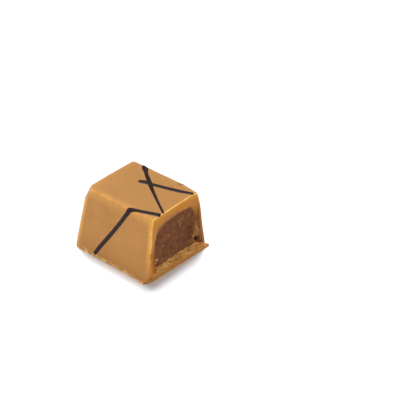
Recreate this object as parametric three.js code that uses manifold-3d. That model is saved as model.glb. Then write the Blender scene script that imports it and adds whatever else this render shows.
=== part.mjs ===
// Half of a moulded chocolate praline, cut across the middle of the bar.
// A blond chocolate shell with dark piped lines holds a grainy nut filling,
// and a poured chocolate base closes it underneath.
// Millimetres, +Z up, +X towards the cut, origin under the middle of the bounding box.

import * as THREE from "three";
import { mergeVertices } from "three/addons/utils/BufferGeometryUtils.js";
import Module from "manifold-3d";

const wasm = await Module();
wasm.setup();

// Mould: a tapered bar, of which the half behind the cut is left
const HEIGHT = 15;
const TOP_WIDTH = 15.2;
const FOOT_WIDTH = 18.7;
const TOP_REACH = 17.8;
const FOOT_REACH = 19.6;
const EDGE_RADIUS = 0.6;
const CORNER_RADIUS = 1.2;

// Shell, filling and base
const WALL = 1.5;
const ROOF = 2.4;
const CAVITY_EDGE = 3.2;
const CAVITY_CORNER = 3.8;
const BASE_TOP = 3.1;
const FOOT_HEIGHT = 0.6;
const PIECE_GAP = 0.1;

// Cut: how far forward it lies at the top, and how much further at the foot on either side
const CUT_TOP = 0.3;
const CUT_LEAN_FRONT = 0.9;
const CUT_LEAN_BACK = 1.95;
const CUT_ROUNDING = 0.8;
const CUT_SIDE_INSIDE = 0.15;
const CUT_TOP_INSIDE = 0.2;
const KNIFE_WAVE = 0.08;
const FILLING_RECESS = 0.2;
const FILLING_GRAIN = 0.22;
const LEDGE_HEIGHT = 1.2;
const LEDGE_RECESS = 0.5;
const LEDGE_GRAIN = 0.25;
const LEDGE_CORNER = 1.7;
const LEDGE_WEAR = 0.7;
const GRAIN_SIZE = 1.1;

// Thick broken patch of the wall at the back of the cut, with a small hollow under it
const PATCH_MIDDLE = new THREE.Vector3(0.4, 7.5, 5.6);
const PATCH_RADII = new THREE.Vector3(2.2, 1.9, 2.5);
const PIT_MIDDLE = new THREE.Vector3(1.75, 6.6, 3.4);
const PIT_RADII = new THREE.Vector3(0.9, 0.7, 0.45);

// Ragged foot of the base and the lip that the break left at its back corner
const FOOT_RAGGED = 0.18;
const FOOT_STEPS = 140;
const LIP_REACH = 0.95;
const LIP_MIDDLE = 2.3;
const LIP_SPREAD = 1.3;

// Piped lines: how far the first stands proud, how much more each later one does,
// how high their edges are, and how deep they are bedded
const LINE_PROUD = 0.1;
const LINE_OVERLAP = 0.015;
const LINE_EDGE = 0.03;
const LINE_BED = 0.3;

// Fineness of the faceted surfaces
const CORNER_STEPS = 4;
const EDGE_STEPS = 6;
const CUT_STEP = 0.45;
const LINE_STEPS = 22;
const LINE_PROFILE = [-1, -0.6, 0, 0.6, 1];
const BALL_STEPS = 12;
const OVERCUT = 6;
const MARGIN = 2;

const DRAFT = Math.atan((FOOT_WIDTH - TOP_WIDTH) / 2 / HEIGHT);
const { clamp, lerp, smoothstep } = THREE.MathUtils;

// Half width and far reach of the mould at a height
const halfWidthAt = (z) => lerp(FOOT_WIDTH, TOP_WIDTH, z / HEIGHT) / 2;
const reachAt = (z) => lerp(FOOT_REACH, TOP_REACH, z / HEIGHT);

// Each side of the bar: its direction along, its direction outward, and how far out it lies at a height
const X = new THREE.Vector3(1, 0, 0);
const Y = new THREE.Vector3(0, 1, 0);
const SIDES = {
  front: { along: X, outward: Y.clone().negate(), distance: halfWidthAt },
  back: { along: X, outward: Y, distance: halfWidthAt },
  end: { along: Y, outward: X.clone().negate(), distance: reachAt },
};

// Piped lines as [along the side, inward over its top edge (negative is down the wall), width]
const LINES = [
  {
    side: "back",
    route: [
      [-14.7, -0.1, 0.6], [-14.2, 0.4, 1.2], [-13.4, 1.15, 1.4], [-12.6, 1.85, 1.1], [-12, 2.4, 0.9],
      [-9.3, 4.6, 1.1], [-6.5, 6.8, 0.85], [-3, 9.3, 0.68], [0.3, 11.6, 0.6], [4, 14.2, 0.6],
    ],
  },
  {
    side: "back",
    route: [
      [-11.3, 5.85, 0.7], [-10.6, 5.6, 1.4], [-9.5, 5.15, 1.35], [-8, 4.85, 1.15],
      [-6, 4.25, 1.15], [-4, 3.6, 1.25], [-2, 2.9, 1.2], [0.4, 1.7, 1], [4, -0.5, 0.9],
    ],
  },
  {
    side: "front",
    route: [
      [4, 4.6, 1.1], [0.4, 2.6, 1.2], [-1, 1.95, 1.2], [-3, 1.1, 1.2], [-4.6, 0.5, 1.2], [-5.6, 0, 1.3],
      [-6.2, -1, 1.2], [-6.8, -2, 1.1], [-8.3, -4.9, 1.05], [-10.8, -9.1, 1.08], [-12.6, -12.1, 1.1],
      [-13.6, -14.1, 1.1],
    ],
  },
  {
    side: "back",
    route: [
      [-3.9, -0.1, 0.3], [-3.9, -0.8, 0.6], [-4.3, -3, 0.85], [-5.4, -6.2, 0.95],
      [-8, -8.6, 0.9], [-11, -10.8, 0.9], [-13, -14, 0.7],
    ],
  },
  {
    side: "end",
    route: [
      [-2.4, -1.6, 0.5], [-2.2, -2.4, 0.9], [-1.8, -5, 0.8], [-1.5, -8, 0.75], [-1.6, -11, 0.6], [-1.4, -13, 0.4],
    ],
  },
];

// Smooth random value between -1 and 1 that repeats for the same place and seed
function noise(u, v, seed) {
  const corner = (i, j) => {
    const wave = Math.sin(i * 127.1 + j * 311.7 + seed * 74.7) * 43758.5453;
    return 2 * (wave - Math.floor(wave)) - 1;
  };
  const i = Math.floor(u);
  const j = Math.floor(v);
  const across = smoothstep(u - i, 0, 1);
  const low = lerp(corner(i, j), corner(i + 1, j), across);
  const high = lerp(corner(i, j + 1), corner(i + 1, j + 1), across);
  return lerp(low, high, smoothstep(v - j, 0, 1));
}

// Two sizes of grain on top of each other
function grain(y, z, seed) {
  const coarse = noise(y / GRAIN_SIZE, z / GRAIN_SIZE, seed);
  const fine = noise((2 * y) / GRAIN_SIZE, (2 * z) / GRAIN_SIZE, seed + 1);
  return 0.6 * coarse + 0.4 * fine;
}

// Solid from a closed geometry
function solid(geometry) {
  geometry.deleteAttribute("normal");
  geometry.deleteAttribute("uv");
  const merged = mergeVertices(geometry);
  const mesh = new wasm.Mesh({
    numProp: 3,
    vertProperties: Float32Array.from(merged.attributes.position.array),
    triVerts: Uint32Array.from(merged.index.array),
  });
  return new wasm.Manifold(mesh);
}

// Geometry of a finished solid
function geometryOf(body) {
  const mesh = body.getMesh();
  const geometry = new THREE.BufferGeometry();
  geometry.setAttribute("position", new THREE.BufferAttribute(mesh.vertProperties, 3));
  geometry.setIndex(new THREE.BufferAttribute(mesh.triVerts, 1));
  return geometry;
}

// Closed body through rings of equal count that run anticlockwise, seen from the last ring
function loft(rings) {
  const count = rings[0].length;
  const last = (rings.length - 1) * count;
  const index = [];
  for (let r = 0; r < rings.length - 1; r++) {
    for (let k = 0; k < count; k++) {
      const a = r * count + k;
      const b = r * count + ((k + 1) % count);
      index.push(a, b, b + count, a, b + count, a + count);
    }
  }
  for (let k = 1; k < count - 1; k++) {
    index.push(0, k + 1, k, last, last + k, last + k + 1);
  }
  const geometry = new THREE.BufferGeometry().setFromPoints(rings.flat());
  geometry.setIndex(index);
  return solid(geometry);
}

// Level outline: square past the cut, with two rounded corners at the far end
function outline(reach, halfWidth, radius) {
  const shape = new THREE.Shape();
  shape.moveTo(OVERCUT, -halfWidth);
  shape.lineTo(OVERCUT, halfWidth);
  shape.absarc(radius - reach, halfWidth - radius, radius, Math.PI / 2, Math.PI);
  shape.absarc(radius - reach, radius - halfWidth, radius, Math.PI, 1.5 * Math.PI);
  shape.closePath();
  return shape;
}

// Level ring of points on such an outline
function ringAt(z, reach, halfWidth, radius) {
  const points = outline(reach, halfWidth, radius).getPoints(CORNER_STEPS).slice(0, -1);
  return points.map((p) => new THREE.Vector3(p.x, p.y, z));
}

// Tapered bar between two heights, a wall thickness inside the mould, with a rounded upper edge
function taperedBar(low, high, inset, edge, corner) {
  const rings = [ringAt(low, reachAt(low) - inset, halfWidthAt(low) - inset, corner)];
  for (let k = 0; k <= EDGE_STEPS; k++) {
    const angle = (k / EDGE_STEPS) * (Math.PI / 2);
    const z = high - edge * (1 - Math.sin(angle));
    const shrink = edge * (1 - Math.cos(angle));
    rings.push(ringAt(z, reachAt(z) - inset - shrink, halfWidthAt(z) - inset - shrink, corner - shrink));
  }
  return loft(rings);
}

// Tapered bar between two heights with a square upper edge
function plainBar(low, high, inset, corner) {
  return loft([low, high].map((z) => ringAt(z, reachAt(z) - inset, halfWidthAt(z) - inset, corner)));
}

// Forward place of the cut, which twists a little from the front wall to the back wall
function cutAt(y, z) {
  const lean = lerp(CUT_LEAN_FRONT, CUT_LEAN_BACK, y / FOOT_WIDTH + 0.5);
  return CUT_TOP + lean * (1 - z / HEIGHT);
}

// How far the cut rolls back where it meets the outside
function rollOff(y, z) {
  const inside = Math.min(halfWidthAt(z) - Math.abs(y), HEIGHT - z + CUT_TOP_INSIDE) + CUT_SIDE_INSIDE;
  const depth = clamp(1 - inside / CUT_ROUNDING, 0, 1);
  return CUT_ROUNDING * (1 - Math.sqrt(1 - depth * depth));
}

const shellCut = (y, z) => cutAt(y, z) - rollOff(y, z) + KNIFE_WAVE * grain(y, z, 1);

const fillingCut = (y, z) => cutAt(y, z) - FILLING_RECESS + FILLING_GRAIN * grain(y, z, 3);

// The base broke off: a short upright face, worn at its front corner, and a rough slope above it
function baseCut(y, z) {
  const rough = smoothstep(z, LEDGE_HEIGHT / 2, LEDGE_HEIGHT);
  const step = smoothstep(z, LEDGE_HEIGHT / 2, BASE_TOP);
  const corner = Math.max(1 - (halfWidthAt(z) + y) / LEDGE_CORNER, 0);
  const forward = lerp(cutAt(y, 0), cutAt(y, z) - LEDGE_RECESS, step);
  return forward - LEDGE_WEAR * corner * corner + LEDGE_GRAIN * rough * grain(y, z, 5);
}

// Everything behind a cut surface
function behind(cut) {
  const width = FOOT_WIDTH + 2 * MARGIN;
  const height = HEIGHT + 2 * MARGIN;
  const depth = FOOT_REACH + MARGIN;
  const block = new THREE.BoxGeometry(
    depth, width, height, 1, Math.round(width / CUT_STEP), Math.round(height / CUT_STEP),
  );
  block.translate(-depth / 2, 0, HEIGHT / 2);
  const place = block.attributes.position;
  for (let k = 0; k < place.count; k++) {
    const z = place.getZ(k);
    const y = (place.getY(k) * halfWidthAt(z)) / halfWidthAt(0);
    const x = place.getX(k) > -depth / 2 ? cut(y, z) : place.getX(k);
    place.setXYZ(k, x, y, z);
  }
  return solid(block);
}

// Point on the outside of the bar, lifted along the outward normal
function skin(side, place, over, lift) {
  const { along, outward, distance } = SIDES[side];
  const angle = (Math.PI / 4) * (1 + clamp(over / EDGE_RADIUS, -1, 1));
  const wallDrop = Math.max(-over - EDGE_RADIUS, 0) * Math.cos(DRAFT);
  const z = HEIGHT - EDGE_RADIUS * (1 - Math.sin(angle)) - wallDrop;
  const inward = EDGE_RADIUS * (1 - Math.cos(angle)) + Math.max(over - EDGE_RADIUS, 0);
  const point = new THREE.Vector3(0, 0, z + lift * Math.sin(angle));
  point.addScaledVector(along, place);
  point.addScaledVector(outward, distance(z) - inward + lift * Math.cos(angle));
  return point;
}

// Line of chocolate piped on a side, thickest along its middle, over the lines before it
function pipedLine({ side, route }, order) {
  const proud = LINE_PROUD + order * LINE_OVERLAP;
  const path = new THREE.CatmullRomCurve3(route.map((p) => new THREE.Vector3(...p)));
  const rings = [];
  for (let k = 0; k <= LINE_STEPS; k++) {
    const share = (1 - Math.cos((k / LINE_STEPS) * Math.PI)) / 2;
    const { x: place, y: over, z: width } = path.getPointAt(share);
    const heading = path.getTangentAt(share).setZ(0).normalize();
    const at = (across, lift) => {
      const aside = (across * width) / 2;
      return skin(side, place - heading.y * aside, over + heading.x * aside, lift);
    };
    const crown = (q) => lerp(proud, LINE_EDGE, q * q);
    const upper = LINE_PROFILE.map((q) => at(q, crown(q)));
    const lower = [1, 0, -1].map((q) => at(q, -LINE_BED));
    rings.push([...upper, ...lower]);
  }
  // On the front, along and inward swap hands, so the rings run the other way round
  if (side === "front") rings.reverse();
  return loft(rings);
}

// Egg-shaped body
function ellipsoid(middle, radii) {
  const ball = new THREE.SphereGeometry(1, BALL_STEPS, BALL_STEPS);
  ball.scale(radii.x, radii.y, radii.z);
  ball.translate(middle.x, middle.y, middle.z);
  return solid(ball);
}

// Ragged outer edge of the foot, with the lip at the back corner
function footRing(z, overhang) {
  const reach = reachAt(z);
  const half = halfWidthAt(z);
  const straight = half - CORNER_RADIUS;
  const points = outline(reach, half, CORNER_RADIUS).getSpacedPoints(FOOT_STEPS).slice(0, -1);
  return points.map((p, k) => {
    const core = new THREE.Vector2(Math.max(p.x, CORNER_RADIUS - reach), clamp(p.y, -straight, straight));
    const ragged = overhang * (0.5 + 0.5 * noise(k / 2, 0, 7));
    const lip = p.y > 0 ? LIP_REACH * Math.exp(-(((p.x - LIP_MIDDLE) / LIP_SPREAD) ** 2)) : 0;
    const moved = p.clone().addScaledVector(p.clone().sub(core).normalize(), ragged + lip);
    return new THREE.Vector3(moved.x, moved.y, z);
  });
}

// Shell: the moulded bar with its lines, hollowed and cut
function makeShell(patch, pit) {
  const bar = taperedBar(FOOT_HEIGHT, HEIGHT, 0, EDGE_RADIUS, CORNER_RADIUS);
  const body = LINES.map(pipedLine).reduce((whole, line) => whole.add(line), bar);
  const cavity = taperedBar(-MARGIN, HEIGHT - ROOF, WALL, CAVITY_EDGE, CAVITY_CORNER);
  return body.subtract(cavity.subtract(patch)).subtract(pit).intersect(behind(shellCut));
}

// Filling: the grainy core, a hair clear of the shell
function makeFilling(patchHole, pit) {
  const core = taperedBar(
    BASE_TOP, HEIGHT - ROOF - PIECE_GAP, WALL + PIECE_GAP, CAVITY_EDGE, CAVITY_CORNER,
  );
  return core.subtract(patchHole).subtract(pit).intersect(behind(fillingCut));
}

// Base: a slab under the walls and a plug between them
function makeBase(patchHole) {
  const top = FOOT_HEIGHT - PIECE_GAP;
  const slab = loft([footRing(0, FOOT_RAGGED), footRing(top, FOOT_RAGGED / 3)]);
  const plug = plainBar(top / 2, BASE_TOP - PIECE_GAP, WALL + PIECE_GAP, CAVITY_CORNER);
  return slab.add(plug.subtract(patchHole)).intersect(behind(baseCut));
}

// Material by its colour and how dull it is
const chocolate = (color, roughness) => new THREE.MeshStandardMaterial({ color, roughness, metalness: 0 });

const patch = ellipsoid(PATCH_MIDDLE, PATCH_RADII);
const patchHole = ellipsoid(PATCH_MIDDLE, PATCH_RADII.clone().addScalar(PIECE_GAP));
const pit = ellipsoid(PIT_MIDDLE, PIT_RADII);

const pieces = [
  { name: "shell", body: makeShell(patch, pit), material: chocolate("#c08d58", 0.45) },
  { name: "filling", body: makeFilling(patchHole, pit), material: chocolate("#6d4830", 0.8) },
  { name: "base", body: makeBase(patchHole), material: chocolate("#a5743f", 0.6) },
];

const praline = new THREE.Group();
for (const { name, body, material } of pieces) {
  const mesh = new THREE.Mesh(geometryOf(body), material);
  mesh.name = name;
  praline.add(mesh);
}

// Bring the middle of the bounding box over the origin
const middle = new THREE.Box3().setFromObject(praline).getCenter(new THREE.Vector3());
praline.position.set(-middle.x, -middle.y, 0);

export default praline;
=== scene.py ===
"""Half of a moulded blond chocolate praline, cut across the bar and dressed around its CAD frame.

Sizes are millimetres in the mould's own frame: x runs towards the cut, y across the bar and z up
from the floor. Each mesh is brought into the part's frame, in metres, when it is made.
"""

import logging
import math
from dataclasses import dataclass, replace
from enum import Enum

import bmesh
import bpy
import numpy as np
from mathutils import Color, Matrix, Vector

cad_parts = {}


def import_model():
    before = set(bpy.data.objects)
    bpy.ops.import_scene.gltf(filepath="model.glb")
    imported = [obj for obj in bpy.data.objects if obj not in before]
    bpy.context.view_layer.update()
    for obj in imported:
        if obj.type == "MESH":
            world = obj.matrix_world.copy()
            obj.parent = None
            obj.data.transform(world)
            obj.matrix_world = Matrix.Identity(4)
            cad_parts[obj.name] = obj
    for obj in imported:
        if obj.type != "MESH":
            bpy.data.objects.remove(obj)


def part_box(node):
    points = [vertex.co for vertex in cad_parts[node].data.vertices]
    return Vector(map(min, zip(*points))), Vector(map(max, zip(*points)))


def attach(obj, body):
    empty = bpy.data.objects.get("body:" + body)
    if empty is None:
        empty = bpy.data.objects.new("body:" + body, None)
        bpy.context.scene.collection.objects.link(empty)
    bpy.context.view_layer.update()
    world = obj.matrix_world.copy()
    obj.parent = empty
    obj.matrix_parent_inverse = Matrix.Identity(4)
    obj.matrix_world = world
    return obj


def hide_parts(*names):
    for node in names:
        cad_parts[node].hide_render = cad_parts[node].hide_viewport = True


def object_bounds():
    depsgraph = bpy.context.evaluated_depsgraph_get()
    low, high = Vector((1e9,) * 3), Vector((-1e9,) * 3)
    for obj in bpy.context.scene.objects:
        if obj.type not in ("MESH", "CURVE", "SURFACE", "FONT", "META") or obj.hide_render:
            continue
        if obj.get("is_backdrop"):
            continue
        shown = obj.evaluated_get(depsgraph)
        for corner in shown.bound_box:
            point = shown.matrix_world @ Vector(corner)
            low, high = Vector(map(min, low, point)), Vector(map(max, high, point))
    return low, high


MM = 0.001
MM_PER_M = 1000.0
BODY = "root"
QUARTER = math.pi / 2
DISPLAY_FULL = 255
TINY = 1e-9

# Front half and back half of the bar
HANDS = (-1, 1)

Points = np.ndarray
Values = float | np.ndarray
Masks = dict[str, Values]
Pair = tuple[float, float]
Place = tuple[float, float, float]
Colour = tuple[float, float, float, float]
Socket = bpy.types.NodeSocket

log = logging.getLogger("praline")


# Small helpers


def tone(red: int, green: int, blue: int) -> Colour:
    """Linear colour of a display tone, whose parts run from 0 to 255."""
    linear = Color([part / DISPLAY_FULL for part in (red, green, blue)]).from_srgb_to_scene_linear()
    return (*linear, 1.0)


def mix(start: Values, end: Values, share: Values) -> Values:
    """Value that lies a share of the way from start to end."""
    return start + (end - start) * share


def on_cut(y: Points, z: Points) -> Points:
    """Places on the plane of the cut, where its grains are read."""
    return np.stack([0 * y, y, z], axis=-1)


def at_height(place: Points, z: float) -> Points:
    """Level points lifted to a height."""
    return np.column_stack([place, np.full(len(place), z)])


def both_ends(sheet: Points) -> Points:
    """First and last column of a sheet as one chain, up the first and down the last."""
    return np.concatenate([sheet[:, 0], sheet[::-1, -1]])


def resample(line: Points, count: int) -> Points:
    """Evenly spaced points along a line.

    Args:
        line: Points of the line, one a row.
        count: How many points to return.

    Returns:
        The spaced points, with both ends kept.
    """
    steps = np.linalg.norm(np.diff(line, axis=0), axis=1)
    length = np.concatenate([[0.0], np.cumsum(steps)])
    places = np.linspace(0, length[-1], count)
    return np.stack([np.interp(places, length, column) for column in line.T], axis=1)


def smooth_line(knots: Points, per_span: int = 12) -> Points:
    """Smooth curve that passes through every knot.

    Args:
        knots: Points that the curve passes through, one a row.
        per_span: Points between two knots.

    Returns:
        The points of the curve.
    """
    knots = np.asarray(knots, float)
    ends = np.vstack([2 * knots[0] - knots[1], knots, 2 * knots[-1] - knots[-2]])
    share = (np.arange(per_span) / per_span)[:, None]
    spans = []
    for before, start, end, after in zip(ends, ends[1:], ends[2:], ends[3:]):
        bend = 2 * before - 5 * start + 4 * end - after
        twist = 3 * start - before - 3 * end + after
        spans.append(start + 0.5 * share * (end - before + share * (bend + share * twist)))
    return np.vstack([*spans, knots[-1:]])


@dataclass(frozen=True)
class Ramp:
    """Smooth rise from 0 at its start to its height at its end, which may lie below the start."""

    start: float
    end: float
    height: float = 1.0

    def at(self, value: Values) -> Values:
        """Height of the ramp at each value."""
        share = np.clip((value - self.start) / (self.end - self.start), 0, 1)
        return self.height * (share * share * (3 - 2 * share))


@dataclass(frozen=True)
class Hump:
    """Smooth hump round a middle."""

    middle: float
    spread: float
    height: float = 1.0

    def at(self, value: Values) -> Values:
        """Height of the hump at each value."""
        return self.height * np.exp(-(((value - self.middle) / self.spread) ** 2))


@dataclass(frozen=True)
class Grain:
    """Smooth random field in space, drawn from a seed and so the same on every run.

    Several sizes of grain lie on top of each other, each half as large and as strong as the last.
    """

    seed: int
    size: float
    strength: float = 1.0
    layers: int = 3

    TABLE = 4096
    PRIMES = (73856093, 19349663, 83492791)

    def at(self, points: Points) -> Points:
        """Field at each place, from its strength below 0 to its strength above.

        Args:
            points: Places, the last axis being x, y and z.

        Returns:
            One value for each place.
        """
        table = np.random.default_rng(self.seed).uniform(-1, 1, self.TABLE)
        finer = [2**layer for layer in range(self.layers)]
        parts = [self._layer(table, points / (self.size / times)) / times for times in finer]
        return self.strength * (sum(parts) / (2 - 1 / finer[-1]))

    def _layer(self, table: Points, scaled: Points) -> Points:
        """One size of grain.

        Args:
            table: Random values of the corners between the grains.
            scaled: Places in units of the grain.

        Returns:
            One value between -1 and 1 for each place.
        """
        cell = np.floor(scaled).astype(np.int64)
        share = scaled - cell
        share = share * share * (3 - 2 * share)
        total = np.zeros(scaled.shape[:-1])
        for corner in np.ndindex(2, 2, 2):
            key = np.bitwise_xor.reduce((cell + corner) * np.array(self.PRIMES), axis=-1)
            weight = np.prod(np.where(np.array(corner) == 1, share, 1 - share), axis=-1)
            total += weight * table[key % self.TABLE]
        return total


@dataclass(frozen=True)
class Patches:
    """Patches where a random field is high."""

    grain: Grain
    cover: Ramp

    def at(self, points: Points) -> Points:
        """How much of a patch lies at each place."""
        return self.cover.at(self.grain.at(points))


# The mould and its cut


class Side(Enum):
    """Sides of the bar that carry piped lines."""

    FRONT = "front"
    BACK = "back"
    END = "end"


@dataclass(frozen=True)
class Dent:
    """Soft hollow in the outside, or a swelling where its depth is below 0."""

    middle: Place
    spread: Place
    depth: float

    def depth_at(self, points: Points) -> Points:
        """How deep the hollow is at each place."""
        sizes = enumerate(zip(self.middle, self.spread))
        return self.depth * np.prod([Hump(*size).at(points[..., axis]) for axis, size in sizes], axis=0)


@dataclass(frozen=True)
class Mould:
    """Tapered bar of which the half behind the cut is left."""

    # Bar and its hollow
    origin: Place = (0.0, 0.0, 0.0)
    foot_height: float = 0.6
    base_top: float = 3.1
    height: float = 15.0
    top_width: float = 15.2
    foot_width: float = 18.7
    top_reach: float = 17.8
    foot_reach: float = 19.6
    edge_radius: float = 0.6
    corner_radius: float = 0.8
    wall: float = 1.5
    roof: float = 2.4
    cavity_edge: float = 3.2
    cavity_corner: float = 3.8
    piece_gap: float = 0.1
    # Cut and its rolled edge
    cut_top: float = 0.3
    cut_lean: Pair = (0.9, 1.95)
    roll_front: Pair = (0.6, 0.5)
    roll_back: Pair = (0.25, 0.4)
    roll_top: Pair = (0.12, 0.22)
    roll_round: float = 0.7
    roll_shoulder: Hump = Hump(14.0, 0.9, 0.6)
    roll_foot: Ramp = Ramp(4.5, 0.5, 1.2)
    roll_waver: Grain = Grain(13, 1.6, 0.4)
    # Unevenness and trimmed foot
    waves: Grain = Grain(11, 5.0, 0.035, layers=1)
    dimples: Grain = Grain(12, 1.3, 0.012, layers=1)
    trim_waver: Grain = Grain(14, 1.1, 0.35)
    trim_level: Ramp = Ramp(0.9, 0.55)
    trim_flecks: Patches = Patches(Grain(15, 1.0), Ramp(-0.15, 0.35))
    dents: tuple[Dent, ...] = (
        Dent((0.8, 8.6, 10.8), (4.5, 1.5, 2.8), -0.3),
        Dent((0.3, 7.2, 14.6), (2.4, 0.9, 0.9), 0.4),
        Dent((-0.2, -9.5, 0.3), (1.5, 1.5, 0.9), -0.34),
    )

    @classmethod
    def from_frame(cls) -> "Mould":
        """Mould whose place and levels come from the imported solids.

        Returns:
            The mould in the part's frame.
        """
        shell_low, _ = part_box("shell")
        filling_low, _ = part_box("filling")
        mould = cls(foot_height=shell_low.z / MM, base_top=filling_low.z / MM)
        core_half = mould.half_width(mould.base_top) - mould.wall - mould.piece_gap
        x = shell_low.x / MM + mould.reach(mould.foot_height)
        y = filling_low.y / MM + core_half
        return replace(mould, origin=(x, y, 0.0))

    def half_width(self, z: Values) -> Values:
        """Half of the bar's width at a height."""
        return mix(self.foot_width, self.top_width, z / self.height) / 2

    def reach(self, z: Values) -> Values:
        """How far back the bar reaches at a height."""
        return mix(self.foot_reach, self.top_reach, z / self.height)

    def cut(self, y: Values, z: Values) -> Values:
        """Forward place of the cut, which twists a little across the bar."""
        lean = mix(*self.cut_lean, y / self.foot_width + 0.5)
        return self.cut_top + lean * (1 - z / self.height)

    def to_part(self, points: Points) -> Points:
        """Points in the part's frame, in metres."""
        return (points + np.array(self.origin)) * MM

    def unevenness(self, points: Points) -> Points:
        """How far the outside stands out from the true mould."""
        waves = self.waves.at(points) + self.dimples.at(points)
        return waves - sum(dent.depth_at(points) for dent in self.dents)

    def skin(self, side: Side, along: Points, over: Points, lift: Points) -> Points:
        """Points on the outside of the bar, which roll over the edge at the cut.

        Args:
            side: Side that carries the points.
            along: Place along the side.
            over: Distance inward over the side's top edge, negative down its wall.
            lift: Height above the outside.

        Returns:
            The points, one a row.
        """
        radius = self.edge_radius
        angle = QUARTER / 2 * (1 + np.clip(over / radius, -1, 1))
        draft = math.atan((self.foot_width - self.top_width) / 2 / self.height)
        drop = np.maximum(-over - radius, 0) * math.cos(draft)
        z = self.height - radius * (1 - np.sin(angle)) - drop
        inward = radius * (1 - np.cos(angle)) + np.maximum(over - radius, 0)
        if side is Side.END:
            x, y = inward - self.reach(z), along
            normal = np.stack([-np.cos(angle), 0 * angle, np.sin(angle)], axis=-1)
        else:
            outside = 1.0 if side is Side.BACK else -1.0
            x, y = along, outside * (self.half_width(z) - inward)
            normal = np.stack([0 * angle, outside * np.cos(angle), np.sin(angle)], axis=-1)
        hand = np.where(y < 0, *HANDS)
        back, inward = self.roll(angle, hand, z)
        edge = self.cut(y, z) - back
        share = np.clip((x - edge) / np.hypot(back, inward), 0, 1)
        ahead, aside = self.rolled(share)
        point = np.stack([np.minimum(x, edge) + back * ahead, y, z], axis=-1)
        point = point - normal * (inward * aside)[..., None]
        outward = normal * np.cos(share * QUARTER)[..., None]
        outward[..., 0] += np.sin(share * QUARTER)
        return point + outward * (lift + self.unevenness(point))[..., None]

    def roll(self, lean: Values, hand: Values, z: Values) -> tuple[Values, Values]:
        """How far the edge at the cut is rolled.

        Args:
            lean: Lean of the outside's normal, from 0 on a wall to a quarter turn on top.
            hand: -1 on the front half and 1 on the back half.
            z: Height.

        Returns:
            How far back and how far inward the roll reaches.
        """
        top = lean / QUARTER
        back, inward = (
            mix(np.where(hand < 0, front, rear), over, top)
            for front, rear, over in zip(self.roll_front, self.roll_back, self.roll_top)
        )
        heights = np.stack([0 * z, 0 * z, z], axis=-1)
        spread = 1 + self.roll_shoulder.at(z) + self.roll_foot.at(z) + self.roll_waver.at(heights)
        return back, inward * mix(np.where(hand < 0, spread, 1.0), 1.0, top)

    def rolled(self, share: Values) -> tuple[Values, Values]:
        """Shares of the way forward and inward over a rolled edge, a bevel with rounded ends."""
        turn = share * QUARTER
        return mix(share, np.sin(turn), self.roll_round), mix(share, 1 - np.cos(turn), self.roll_round)

    def trim(self, points: Points) -> Points:
        """Mask of the pale flecks along the trimmed foot."""
        level = points[..., 2] + self.trim_waver.at(points)
        return self.trim_level.at(level) * self.trim_flecks.at(points)


@dataclass(frozen=True)
class LoopSteps:
    """How many points a level loop has along a side, round a corner and on half of the end."""

    side: int
    corner: int
    half_end: int

    def loop(self, reach: float, half: float, radii: Pair, ahead: Pair) -> tuple[Points, Points]:
        """Level loop from the cut, round the far end and back to the cut.

        Args:
            reach: How far back the loop goes.
            half: Half of its width.
            radii: Radius of its far corner on the front side and on the back side.
            ahead: Where it starts on the front side and ends on the back side.

        Returns:
            The points and their outward normals, both level.
        """
        share = np.arange(self.side) / self.side
        turn = np.arange(self.corner) / self.corner * QUARTER
        left = 1 - np.arange(self.half_end) / (self.half_end - 0.5)
        halves = []
        for hand, radius, start in zip(HANDS, radii, ahead):
            bend = radius - reach
            x = [mix(start, bend, share), bend - radius * np.sin(turn), np.full(self.half_end, -reach)]
            y = [np.full(self.side, half), half - radius + radius * np.cos(turn), (half - radius) * left]
            nx = [np.zeros(self.side), -np.sin(turn), np.full(self.half_end, -1.0)]
            ny = [np.ones(self.side), np.cos(turn), np.zeros(self.half_end)]
            place = np.stack([np.concatenate(x), hand * np.concatenate(y)], axis=1)
            normal = np.stack([np.concatenate(nx), hand * np.concatenate(ny)], axis=1)
            halves.append((place, normal))
        (front, front_normal), (back, back_normal) = halves
        return np.vstack([front, back[::-1]]), np.vstack([front_normal, back_normal[::-1]])


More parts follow.
